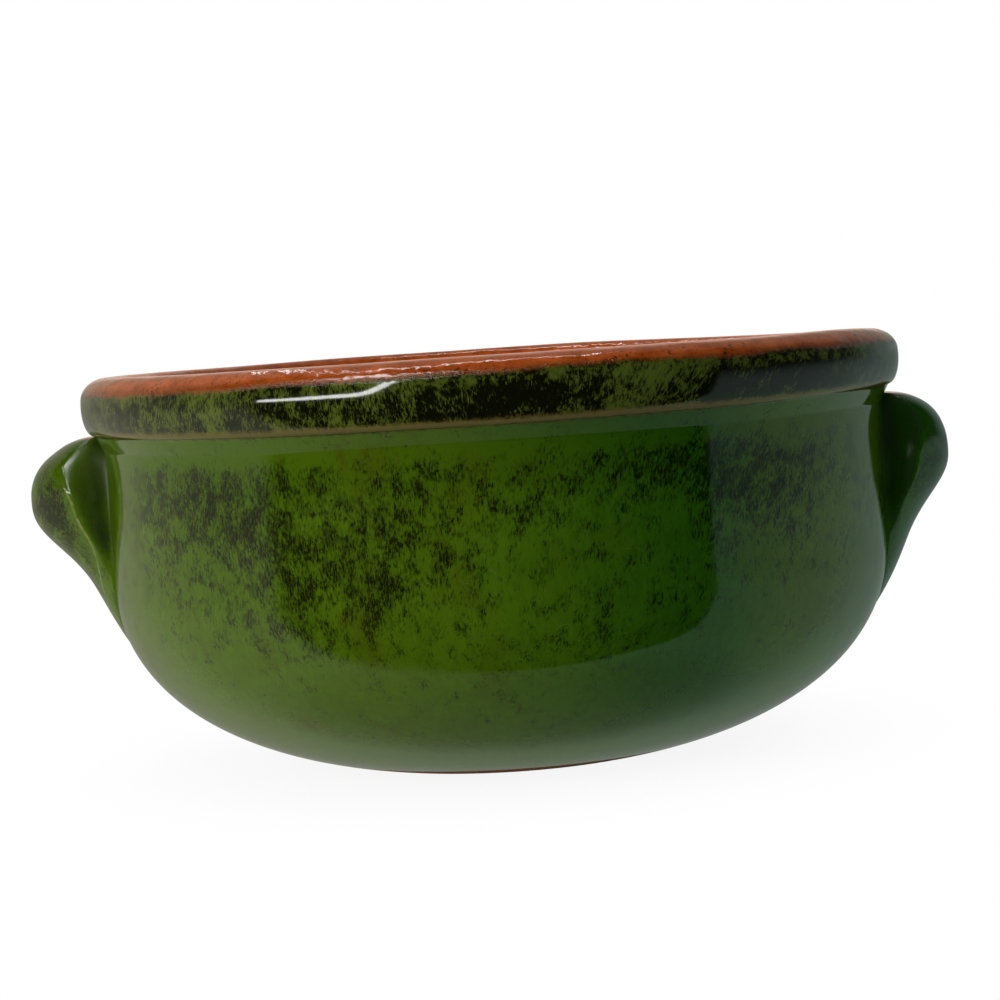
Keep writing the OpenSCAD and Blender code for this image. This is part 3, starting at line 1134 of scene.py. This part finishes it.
@dataclass(frozen=True)
class Lug:
    """A pressed clay handle: a fat lobe with two pinched hollows over a long tail.

    A level s runs from -1 at the tail's end over 0 at the widest reach to 1 at the top. A side of a level
    runs from 0 at the nose over the ridge at face_share to 1 at the root. Hollow points are shares of the
    ridge's reach and of the half width, the second one counted from the neck. A fade is where a soft step
    starts and how long it is, along s, down -s or across a side.
    """

    side: Side
    form: CrockForm
    gap: float
    taper: float
    lobe_h: float = 11.1 * MM
    tail_h: float = 31 * MM
    lobe_w: float = 25 * MM
    neck_w: float = 18.5 * MM
    tail_w: float = 12 * MM
    lobe_power: float = 2.2
    half_fall_share: float = 0.39
    ridge_out_share: float = 0.44
    ridge_rise_share: float = 0.36
    ridge_end_share: float = 0.58
    ridge_run_power: float = 1.3
    face_turn: float = 52.0
    ridge_width_share: float = 0.965
    top_width_share: float = 0.35
    fade_from_share: float = 0.18
    fade_to_share: float = 0.6
    back_power: float = 1.6
    root_share: float = 0.84
    worn_and_lit_share: float = 0.9
    tail_width_power: float = 1.5
    tail_round: float = 0.14
    tail_narrowing: float = 0.75
    ridge_rise_top: float = 0.6
    face_share: float = 0.5
    hollow_near: Point = (0.62, 1.04)
    hollow_far: Point = (0.12, -0.02)
    shut_from: float = 0.45
    shut_share: float = 0.6
    ease_low: int = 3
    ease_high: int = 60
    ease_fade: Span = (0.1, 0.6)
    sink_d: float = 0.35 * MM
    sink_from: float = 0.8
    core_share: float = 1.1
    seam_at: float = 0.455
    seam_share: float = 0.5
    worn_and_lit_w: float = 0.007
    worn_and_lit_down_fade: Span = (-0.4, 0.3)
    worn_and_lit_up_fade: Span = (-0.62, 0.1)
    seam_down_fade: Span = (0.0, 0.1)
    seam_up_fade: Span = (-0.4, 0.1)
    shade_length: float = 0.08
    shade_root: float = 0.06
    shade_up_fade: Span = (-0.6, 0.4)
    shade_shares: Span = (0.5, 0.8)
    shade_root_fade: Span = (0.7, 0.15)
    shade_lobe_fade: Span = (-0.3, 0.6)
    dab_fade: Span = (0.4, 0.12)
    dab_loss: float = 0.85
    fall_steps: int = 70
    lobe_steps: int = 40
    side_steps: int = 56

    @property
    def name(self) -> str:
        """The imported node's name."""
        return self.side.name.lower() + "_handle"

    @property
    def reach(self) -> float:
        """How far the handle reaches out from the wall, in metres.

        Returns:
            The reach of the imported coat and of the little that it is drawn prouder.
        """
        low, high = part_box(self.name + "_glaze")
        nose = max(-low.x, high.x) + self.form.glaze_t
        return nose - self.form.outer_r(self.height(0.0))

    def height(self, s: float) -> float:
        """Return the height of a level: s is -1 at the tail's end, 0 at the widest reach and 1 at the top."""
        return self.form.collar_z - self.gap - self.lobe_h + s * (self.tail_h if s < 0 else self.lobe_h)

    def reach_share(self, s: float) -> float:
        """Return how far a level reaches.

        Args:
            s: The level.

        Returns:
            The share of the full reach.
        """
        if s >= 0:
            return max(1 - s ** self.lobe_power, 0.0) ** (1 / self.lobe_power)

        def fall(t: float) -> float:
            """Return the share a way down the tail, before it is made to end at nothing."""
            return 1 / (1 + (t / self.half_fall_share) ** self.taper)

        return fall(-s) - fall(1.0) * s ** 4

    def half_width(self, s: float) -> float:
        """Return half the width of a level.

        Args:
            s: The level.

        Returns:
            Half the width along the wall, in metres.
        """
        if s >= 0:
            return self.lobe_w / 2 * mix(self.top_width_share, 1.0, math.sqrt(max(1 - s * s, 0.0)))
        rounding = soft_step(-s, 1 - self.tail_round, self.tail_round) * self.tail_narrowing
        return mix(self.lobe_w, self.tail_w, (-s) ** self.tail_width_power) / 2 * math.sqrt(1 - rounding)

    def ridge_share(self, s: float) -> float:
        """Return how far out the ridge runs at a level.

        Args:
            s: The level.

        Returns:
            The share of the level's own reach.
        """
        if s > 0:
            return self.ridge_out_share + self.ridge_rise_share * min(s, self.ridge_rise_top)
        return self.ridge_out_share * max(1 - (-s / self.ridge_end_share) ** self.ridge_run_power, 0.0)

    @staticmethod
    def eased(points: np.ndarray, passes: int) -> np.ndarray:
        """Round off the corners of a row of points.

        Args:
            points: The row.
            passes: How many times each point moves towards its neighbours.

        Returns:
            The eased row, with its ends in place.
        """
        row = points.copy()
        for _ in range(passes):
            row[1:-1] = (row[:-2] + 2 * row[1:-1] + row[2:]) / 4
        return row

    def side_points(self, s: float) -> np.ndarray:
        """Return one side of a level from nose to root.

        Args:
            s: The level.

        Returns:
            Points as shares of the level's reach and half width.
        """
        fade = float(soft_step(-s, self.fade_from_share, self.fade_to_share - self.fade_from_share))
        shut = float(soft_step(s, self.shut_from, 1 - self.shut_from)) * self.shut_share
        neck = mix(self.neck_w / self.lobe_w, 1.0, max(fade, shut))
        root = mix(self.root_share, 1.0, fade)
        ridge = self.ridge_share(s)
        v = np.linspace(0, 1, self.side_steps + 1)
        end = math.radians(self.face_turn)
        face = np.clip(v / self.face_share, 0, 1) * end
        outer = np.stack([mix(1.0, ridge, (1 - np.cos(face)) / (1 - math.cos(end))),
                          self.ridge_width_share * np.sin(face) / math.sin(end)], axis=1)
        u = np.clip((v - self.face_share) / (1 - self.face_share), 0, 1)[:, None]
        (near_x, near_y), (far_x, far_y) = self.hollow_near, self.hollow_far
        corners = np.array([(ridge, self.ridge_width_share), (ridge * near_x, near_y),
                            (ridge * far_x, neck + far_y), (0.0, root)])
        flank = ((1 - u) ** 3 * corners[0] + 3 * u * (1 - u) ** 2 * corners[1]
                 + 3 * u ** 2 * (1 - u) * corners[2] + u ** 3 * corners[3])
        lobe = np.where(v[:, None] <= self.face_share, outer, flank)
        lobe = mix(self.eased(lobe, self.ease_low), self.eased(lobe, self.ease_high),
                   float(soft_step(s, *self.ease_fade)))
        back = np.stack([np.cos(v * math.pi / 2) ** self.back_power, np.sin(v * math.pi / 2)], axis=1)
        return mix(lobe, back, fade)

    def levels(self) -> list[float]:
        """Return the levels of the rows of points, from the tail's end to the top."""
        fall = [k / self.fall_steps - 1 for k in range(self.fall_steps)]
        return fall + [math.sin(math.pi / 2 * k / self.lobe_steps) for k in range(self.lobe_steps + 1)]

    def sheet(self, seat: bool = False) -> np.ndarray:
        """Return the finished surface on the +X side as rows of points.

        Args:
            seat: Whether to return a sheet inside the wall that the handle lies against instead.

        Returns:
            An array of rows, points and coordinates.
        """
        depth = 2 * self.form.glaze_t if seat else 0.0
        across = np.linspace(0, 1, self.side_steps + 1)
        sink = soft_step(across, self.sink_from, 1 - self.sink_from) * self.sink_d
        rows = []
        for s in self.levels():
            z = self.height(s)
            points = self.side_points(s)
            y = points[:, 1] * (self.half_width(s) - depth)
            out = 0.0 if seat else self.reach * self.reach_share(s) * points[:, 0] - sink
            x = np.sqrt((self.form.outer_r(z) - depth) ** 2 - y ** 2) + out
            near = np.stack([x, y, np.full_like(x, z)], axis=1)
            rows.append(np.concatenate([near[:0:-1] * (1, -1, 1), near]))
        return np.array(rows)

    @staticmethod
    def inward(sheet: np.ndarray, depth: float) -> np.ndarray:
        """Return a sheet moved into the clay along its normals."""
        normal = np.cross(np.gradient(sheet, axis=1), np.gradient(sheet, axis=0))
        return sheet - depth * normal / np.maximum(np.linalg.norm(normal, axis=2, keepdims=True), 1e-12)

    def shell(self, name: str, outer: np.ndarray, inner: np.ndarray) -> bpy.types.Mesh:
        """Return a closed mesh between two sheets, on the handle's own side.

        Args:
            name: The mesh's name.
            outer: The outer sheet.
            inner: The inner sheet, with as many rows and points.

        Returns:
            The mesh, with its faces pointing out.
        """
        rows, cols, _ = outer.shape
        count = rows * cols
        faces = []
        for k in range(rows - 1):
            for i in range(cols - 1):
                a = k * cols + i
                b, c, d = a + 1, a + cols + 1, a + cols
                faces.append((a, b, c, d))
                faces.append((d + count, c + count, b + count, a + count))
        edges = [(k * cols, (k + 1) * cols) for k in range(rows - 1)]
        edges += [((k + 2) * cols - 1, (k + 1) * cols - 1) for k in range(rows - 1)]
        edges += [(i + 1, i) for i in range(cols - 1)]
        edges += [(count - cols + i, count - cols + i + 1) for i in range(cols - 1)]
        faces += [(a, b, b + count, a + count) for a, b in edges]
        if self.side is Side.LEFT:
            faces = [face[::-1] for face in faces]
        points = np.concatenate([outer, inner]).reshape(-1, 3) * (self.side.value, 1, 1)
        mesh = bpy.data.meshes.new(name)
        mesh.from_pydata(points.tolist(), [], faces)
        return mesh

    def thin_lit_ridge_and_shaded_hollow(self) -> np.ndarray:
        """Return the ridge's thin coat with its painted highlight, and the painted shade in the hollows, on a
        sheet.

        Returns:
            Rows of values, above 0 on the ridge and the seam, where the coat is thin and a highlight is
            painted, and below 0 in the hollows, where shade is painted.
        """
        v = np.abs(np.linspace(-1, 1, 2 * self.side_steps + 1))
        ridge = np.exp(-((v - self.face_share) / self.worn_and_lit_w) ** 2)
        seam = np.exp(-((v - self.seam_at) / self.worn_and_lit_w) ** 2)
        # Painted shade in the hollows, deepest by the root and under the lobe.
        hollow = soft_step(v, self.face_share, self.shade_length) * soft_step(-v, -1.0, self.shade_root)
        rows = []
        for s in self.levels():
            # Ridge and seam lines: a thin coat with a painted highlight.
            worn = ridge * soft_step(-s, *self.worn_and_lit_down_fade) * soft_step(s, *self.worn_and_lit_up_fade)
            joint = seam * soft_step(-s, *self.seam_down_fade) * soft_step(s, *self.seam_up_fade)
            deepest = soft_step(v, *self.shade_root_fade) * soft_step(s, *self.shade_lobe_fade)
            darkening = hollow * soft_step(s, *self.shade_up_fade) * mix(*self.shade_shares, deepest)
            rows.append((worn + joint * self.seam_share) * self.worn_and_lit_share - darkening)
        return np.array(rows)

    def dabbed(self) -> np.ndarray:
        """Return how far the sponge reached the coat, which is over its outer face but not in its hollows.

        Returns:
            The share at each point of the coat's two sheets.
        """
        v = np.abs(np.linspace(-1, 1, 2 * self.side_steps + 1))
        row = 1 - soft_step(v, *self.dab_fade) * self.dab_loss
        return np.tile(row, 2 * len(self.levels()))

    def build(self, kiln: Kiln, clay: bpy.types.Material, glaze: bpy.types.Material,
              sponge: SpongeWork) -> list[bpy.types.Object]:
        """Make the handle's clay and its coat.

        Args:
            kiln: What warps the finished meshes.
            clay: The clay's finish.
            glaze: The coat's finish.
            sponge: The dabs on the coat.

        Returns:
            The two pieces.
        """
        top = self.sheet()
        under = self.inward(top, self.form.glaze_t)
        core_face = self.inward(top, self.core_share * self.form.glaze_t)
        core_mesh = self.shell("clay", core_face, self.sheet(seat=True))
        core = kiln.fire(self.side.name.lower() + "_lug_clay", core_mesh, clay)
        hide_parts(self.name)
        coat_mesh = self.shell("coat", top, under)
        # The ridge's thin coat with its painted highlight and the hollows' painted shade go on the coat as an
        # attribute.
        run = np.concatenate([self.thin_lit_ridge_and_shaded_hollow()] * 2).ravel().astype(np.float32)
        coat_mesh.attributes.new(RIDGE_AND_HOLLOW, "FLOAT", "POINT").data.foreach_set("value", run)
        coat = kiln.fire(self.side.name.lower() + "_lug_coat", coat_mesh, glaze)
        sponge.mark(coat, self.dabbed())
        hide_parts(self.name + "_glaze")
        return [core, coat]


class Grit(Maker):
    """Scatters small flattened grains over a surface."""

    SMALLEST_SHARE = 0.45
    FLATNESS = 0.35

    def __init__(self) -> None:
        """Build the tree."""
        super().__init__("grit", {"Per Square Metre": "NodeSocketFloat", "Grain": "NodeSocketFloat",
                                  "Seed": "NodeSocketInt", "Material": "NodeSocketMaterial"})
        board = self.board
        spread = board.add("GeometryNodeDistributePointsOnFaces", {"distribute_method": "RANDOM"},
                           {"Mesh": self.input("Geometry"), "Density": self.input("Per Square Metre"),
                            "Seed": self.input("Seed")})
        grain = board.term("GeometryNodeMeshIcoSphere", sockets={"Radius": 1.0, "Subdivisions": 2})
        size = board.term("FunctionNodeRandomValue", {"data_type": "FLOAT"},
                          {2: self.SMALLEST_SHARE, 3: 1.0, "Seed": self.input("Seed")}, output=1)
        size = size * self.input("Grain")
        scale = board.term("ShaderNodeCombineXYZ", sockets={"X": size, "Y": size, "Z": size * self.FLATNESS})
        scattered = board.term("GeometryNodeInstanceOnPoints", sockets={
            "Points": spread.outputs["Points"], "Instance": grain,
            "Rotation": spread.outputs["Rotation"], "Scale": scale})
        self.close(scattered)


class Bowl:
    """The thrown bowl and its three coats."""

    GRAINS = 26000.0
    GRAIN_R = 0.16 * MM
    GRAIN_SEED = 5

    def __init__(self, form: CrockForm, warp: KilnWarp) -> None:
        """Keep the form and set up the wheel."""
        self.form = form
        self.lathe = Lathe(form, warp)

    def build(self, clay: bpy.types.Material, green: bpy.types.Material, amber: bpy.types.Material,
              honey: bpy.types.Material, sponge: SpongeWork) -> list[bpy.types.Object]:
        """Make the clay body and the coats.

        Args:
            clay: Finish of the bare clay.
            green: Finish of the outer coat.
            amber: Finish of the rim's coat.
            honey: Finish of the lining.
            sponge: The dabs on the outside.

        Returns:
            The pieces.
        """
        form = self.form
        paths = [form.green_path(), form.amber_path(), form.lining_path()]
        skin = paths[0] + paths[1][1:] + paths[2][1:]
        under = form.under(skin)
        under[-1] = (0.0, form.floor_t - form.glaze_t)
        ends = [0, len(paths[0]) - 1, len(paths[0]) + len(paths[1]) - 2, len(skin) - 1]
        pieces = [self._clay(under, clay)]
        coats = (("outer_coat", "body_glaze", "green_glaze", green),
                 ("rim_coat", "rim_glaze", "amber_glaze", amber),
                 ("lining_coat", "lining_glaze", "honey_glaze", honey))
        for (name, node, slot, finish), first, last in zip(coats, ends, ends[1:]):
            loop = skin[first:last + 1] + under[first:last + 1][::-1]
            piece = self.lathe.turn(name, loop, finish)
            sponge.mark(piece)
            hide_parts(node)
            pieces.append(piece)
        pieces.append(self._grit(paths[1], amber))
        return pieces

    def _clay(self, under: Sequence[Point], clay: bpy.types.Material) -> bpy.types.Object:
        """Turn the clay body under the coats.

        Args:
            under: The coats' inner side, from the bare foot over the rim to the middle of the floor.
            clay: Finish of the bare clay.

        Returns:
            The piece.
        """
        foot = self.form.foot_path()
        edge = (self.form.outer_r(self.form.bare_foot_h), self.form.bare_foot_h)
        piece = self.lathe.turn("clay_body", foot + [edge] + list(under), clay)
        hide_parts("clay_bowl")
        return piece

    def _grit(self, path: Sequence[Point], amber: bpy.types.Material) -> bpy.types.Object:
        """Scatter the grains that show as pimples in the rim's coat.

        Args:
            path: The rim's outline, which the grains lie on.
            amber: Finish of the rim's coat.

        Returns:
            The piece.
        """
        top = self.lathe.turn("rim_top", path, amber, closed=False)
        piece = Grit().make("rim_grit", top.data.copy(), {
            "Per Square Metre": self.GRAINS, "Grain": self.GRAIN_R, "Seed": self.GRAIN_SEED,
            "Material": amber})
        bpy.data.objects.remove(top)
        return piece


@dataclass(frozen=True)
class Lamp:
    """A soft square lamp that points at the crock, and that the glaze doesn't mirror."""

    name: str
    place: tuple[float, float, float]
    size: float
    power: float
    colour: tuple[float, float, float]
    aim: tuple[float, float, float] = (0.0, 0.0, 35 * MM)

    def hang(self) -> None:
        """Add the lamp to the scene."""
        data = bpy.data.lights.new(self.name, "AREA")
        data.size = self.size
        data.energy = self.power
        data.color = self.colour
        lamp = placed(self.name, data)
        lamp.location = self.place
        lamp.rotation_euler = (Vector(self.aim) - Vector(self.place)).to_track_quat("-Z", "Y").to_euler()
        lamp.visible_glossy = False


@dataclass(frozen=True)
class Studio:
    """The floor, the white surroundings, the lamps and the camera.

    The mirrored lamps are a rail in front, which runs across and bends down at its right end, and a bulb, two
    bars and a cross bar overhead. Their places are slopes of a direction: its sideways part by its forward or
    upward part. A band is its two sides and how soft they are, and an edge is where it starts and ends.
    """

    LAMPS = (Lamp("key_lamp", (-0.76, -0.60, 0.32), 0.5, 8.5, (1.0, 0.98, 0.92)),
             Lamp("fill_lamp", (0.5, -0.45, 0.7), 0.6, 1.6, (0.95, 0.97, 1.0)),
             Lamp("back_lamp", (0.2, 0.8, 0.45), 0.6, 4.5, (1.0, 0.98, 0.95)))
    CLOTH_LEFT = (0.56, 0.55, 0.42, 1)
    CLOTH_RIGHT = (0.28, 0.37, 0.35, 1)
    CLOTH_LOW_TINT = (1.0, 1.12, 0.9)
    OPEN_FRONT = (0.004, 0.004, 0.005, 1)
    FAR_PANEL = (0.85, 0.6, 0.5, 1)
    SKY = (0.9, 0.95, 1.0, 1.0)
    SKY_POWER = 0.16
    FLOOR_GREY = (0.8, 0.8, 0.8, 1.0)
    TINY = 0.001
    RAIL_BEND = 0.22
    RAIL_LEFT = 0.55
    RAIL_HIGH = 0.04
    RAIL_EDGE = (0.025, 0.05)
    RAIL_BAND = (-2.15, 0.0, 0.03)
    RAIL_TOP = (1.2, 1.6)
    BULB_PLACE = 0.45
    BULB_EDGE = (0.045, 0.07)
    SIDE_BANDS = ((-0.88, -0.8, 0.015), (-0.9, -0.3, 0.05))
    BACK_BANDS = ((-0.345, -0.33, 0.008), (0.12, 1.75, 0.05))
    CROSS_BANDS = ((-0.31, 0.17, 0.03), (-0.03, 0.03, 0.012))
    CROSS_SLOPE = 0.46
    CROSS_BACK = 0.37
    OVERHEAD_EDGE = (0.35, 0.45)

    distance: float = 460.6 * MM
    height: float = 77.55 * MM
    lens: float = 89.28
    pitch: float = 4.003
    roll: float = 3.648
    yaw: float = 0.069
    sensor_w: float = 36.0
    near: float = 10 * MM
    floor_half: float = 4.0
    floor_drop: float = 0.05 * MM
    shadow_r: Span = (30 * MM, 90 * MM)
    rail_power: float = 16.0
    overhead_power: float = 12.0

    def camera(self) -> None:
        """Place the camera as the photograph was taken."""
        pitch, roll, yaw = (math.radians(a) for a in (self.pitch, self.roll, self.yaw))
        ahead = Vector((math.sin(yaw) * math.cos(pitch), math.cos(yaw) * math.cos(pitch), -math.sin(pitch)))
        right = Vector((math.cos(yaw), -math.sin(yaw), 0.0))
        up = right.cross(ahead)
        across = math.cos(roll) * right - math.sin(roll) * up
        rise = math.sin(roll) * right + math.cos(roll) * up
        data = bpy.data.cameras.new("camera")
        data.lens = self.lens
        data.sensor_width = self.sensor_w
        data.clip_start = self.near
        camera = placed("camera", data)
        turn = Matrix((across, rise, -ahead)).transposed().to_4x4()
        camera.matrix_world = Matrix.Translation((0.0, -self.distance, self.height)) @ turn
        bpy.context.scene.camera = camera

    def floor(self) -> None:
        """Lay a pale floor that turns white away from the crock and keeps its shadow."""
        half, low = self.floor_half, -self.floor_drop
        mesh = bpy.data.meshes.new("floor")
        mesh.from_pydata([(-half, -half, low), (half, -half, low), (half, half, low), (-half, half, low)],
                         [], [(0, 1, 2, 3)])
        floor = placed("floor", mesh)
        material = bpy.data.materials.new("pale_floor")
        board = Board.fresh(material)
        x, y, _ = board.axes(board.term("ShaderNodeTexCoord", output="Object"))
        away = radius(x, y).step(*self.shadow_r)
        seen = board.term("ShaderNodeLightPath", output="Is Camera Ray")
        diffuse = board.term("ShaderNodeBsdfDiffuse", sockets={"Color": self.FLOOR_GREY})
        glow = board.term("ShaderNodeEmission", sockets={"Color": WHITE, "Strength": 1.0})
        mixed = board.term("ShaderNodeMixShader", sockets={0: seen * (0.9 + away * 0.1), 1: diffuse, 2: glow})
        board.add("ShaderNodeOutputMaterial", sockets={"Surface": mixed})
        mesh.materials.append(material)
        floor.visible_glossy = False

    def _lamps(self, way: Sequence[Term]) -> Term:
        """Return the brightness of the long lamps that the glaze mirrors.

        Args:
            way: The three parts of the direction.

        Returns:
            The lamps' brightness in that direction.
        """
        x, y, z = way
        front = (-y).largest(self.TINY)
        over, up = x / front, z / front
        from_rail = abs(past_corner(over + self.RAIL_LEFT + self.RAIL_BEND,
                                    self.RAIL_HIGH + self.RAIL_BEND - up, self.RAIL_BEND))
        rail = (1 - from_rail.step(*self.RAIL_EDGE)) * over.inside(*self.RAIL_BAND)
        top = z.largest(self.TINY)
        wide, deep = x / top, y / top
        off_x, off_y = wide + self.BULB_PLACE, deep + self.BULB_PLACE
        bulb = 1 - (off_x * off_x + off_y * off_y).step(*self.BULB_EDGE)
        side, back = (wide.inside(*across) * deep.inside(*along)
                      for across, along in (self.SIDE_BANDS, self.BACK_BANDS))
        across, along = self.CROSS_BANDS
        slanted = deep - wide * self.CROSS_SLOPE - self.CROSS_BACK
        cross = slanted.inside(*along) * wide.inside(*across)
        overhead = bulb.largest(side * 0.7).largest(back * 0.8).largest(cross)
        return (rail * (1 - up.step(*self.RAIL_TOP)) * self.rail_power
                + overhead * z.step(*self.OVERHEAD_EDGE) * self.overhead_power)

    def _open_front(self, way: Sequence[Term]) -> Term:
        """Return where the tent is open and dark: in front and above, down to rounded lower corners.

        Args:
            way: The three parts of the direction.

        Returns:
            The share of the opening in that direction, with a softer edge on the left.
        """
        x, y, z = way
        ahead = (-y).largest(z).largest(self.TINY)
        wide, high = x / ahead, z / ahead
        low_edge, half_wide, corner, off_middle = -1.74, 2.1, 0.42, 0.1
        lean, lean_height = 0.6, 0.75
        left = 1 - wide.step(-1.0, 0.0)
        over_x = abs(wide + (high + lean_height) * left * lean + off_middle) - (half_wide - corner)
        past = past_corner(over_x, (low_edge + corner) - high, corner)
        soft = left * 0.42 + 0.07
        behind = (y - z.largest(0.0) * 0.42).step(-0.12, 0.02)
        return (1 - past.step(-soft, soft)) * (1 - behind)

    def _cloth(self, board: Board, way: Sequence[Term]) -> Term:
        """Return the colour of the tent's cloth.

        Args:
            board: The world's tree.
            way: The three parts of the direction.

        Returns:
            The colour, which dims upwards, on the right and low down at the back.
        """
        x, y, z = way
        cloth = board.blend(x.step(-0.7, 0.7), self.CLOTH_LEFT, self.CLOTH_RIGHT)
        upper = 1 - z.step(-0.2, 0.06) * (0.75 - y.step(-0.25, 0.45) * 0.45)
        lower = 1 - (-z).step(0.68, 0.92) * 0.42
        right = 1 - z.step(-0.06, 0.05) * x.step(0.2, 0.8) * (1 - y.step(0.35, 0.75)) * 0.85
        low_back = 1 - y.step(0.6, 0.95) * (1 - z.step(-0.02, 0.03)) * 0.35
        dimmed = board.term("ShaderNodeVectorMath", {"operation": "SCALE"},
                            {0: cloth, "Scale": upper * lower * right * low_back})
        return board.blend((-z).step(0.3, 0.6), dimmed, board.stretch(dimmed, self.CLOTH_LOW_TINT))

    def surroundings(self) -> None:
        """Surround the crock with a tent that the glaze mirrors and that looks white to the camera."""
        world = bpy.data.worlds.new("tent")
        bpy.context.scene.world = world
        board = Board.fresh(world)
        x, y, z = way = board.axes(board.term("ShaderNodeTexCoord", output="Generated"))
        far = (y - z.largest(0.0) * 1.1).step(0.0, 0.35) * z.step(0.0, 0.04) * (1 - abs(x).step(0.14, 0.26))
        tent = board.blend(self._open_front(way), self._cloth(board, way), self.OPEN_FRONT)
        walls = board.blend(far, tent, self.FAR_PANEL)
        lit = board.term("ShaderNodeVectorMath", {"operation": "ADD"}, {0: walls, 1: self._lamps(way)})
        path = board.add("ShaderNodeLightPath")
        seen, glossy, through = (Term(board, path.outputs[f"Is {kind} Ray"])
                                 for kind in ("Camera", "Glossy", "Transmission"))
        soft, mirror, white = (
            board.term("ShaderNodeBackground", sockets={"Color": colour, "Strength": strength})
            for colour, strength in ((self.SKY, self.SKY_POWER), (lit, 1.0), (WHITE, 1.0)))
        unseen = board.term("ShaderNodeMixShader", sockets={0: glossy.largest(through), 1: soft, 2: mirror})
        shown = board.term("ShaderNodeMixShader", sockets={0: seen, 1: unseen, 2: white})
        board.add("ShaderNodeOutputWorld", sockets={"Surface": shown})

    def build(self) -> None:
        """Set up the whole stage."""
        self.camera()
        self.floor()
        self.surroundings()
        for lamp in self.LAMPS:
            lamp.hang()
        bpy.context.scene.view_settings.view_transform = "Standard"


def main() -> None:
    """Build the crock and its stage."""
    logging.basicConfig(level=logging.INFO, format="%(name)s: %(message)s")
    form = CrockForm.from_frame()
    warp = KilnWarp()
    sponge = SpongeWork(form)
    glaze = SpongedGlaze()
    clay = Terracotta().material()
    green = glaze.material("green_coat")
    amber = glaze.material("amber_coat")
    honey = HoneyLining().material()
    pieces = Bowl(form, warp).build(clay, green, amber, honey, sponge)
    kiln = Kiln(form, warp)
    lugs = (Lug(Side.LEFT, form, gap=0.4 * MM, taper=2.7),
            Lug(Side.RIGHT, form, gap=1.7 * MM, taper=2.2, lobe_power=2.6, ridge_out_share=0.52,
                ridge_end_share=0.78, worn_and_lit_share=0.12))
    for lug in lugs:
        pieces += lug.build(kiln, clay, green, sponge)
    for piece in pieces:
        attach(piece, "root")
        log.info("%s: %d faces", piece.name, len(piece.data.polygons))
    Studio().build()


if __name__ == "__main__":
    main()
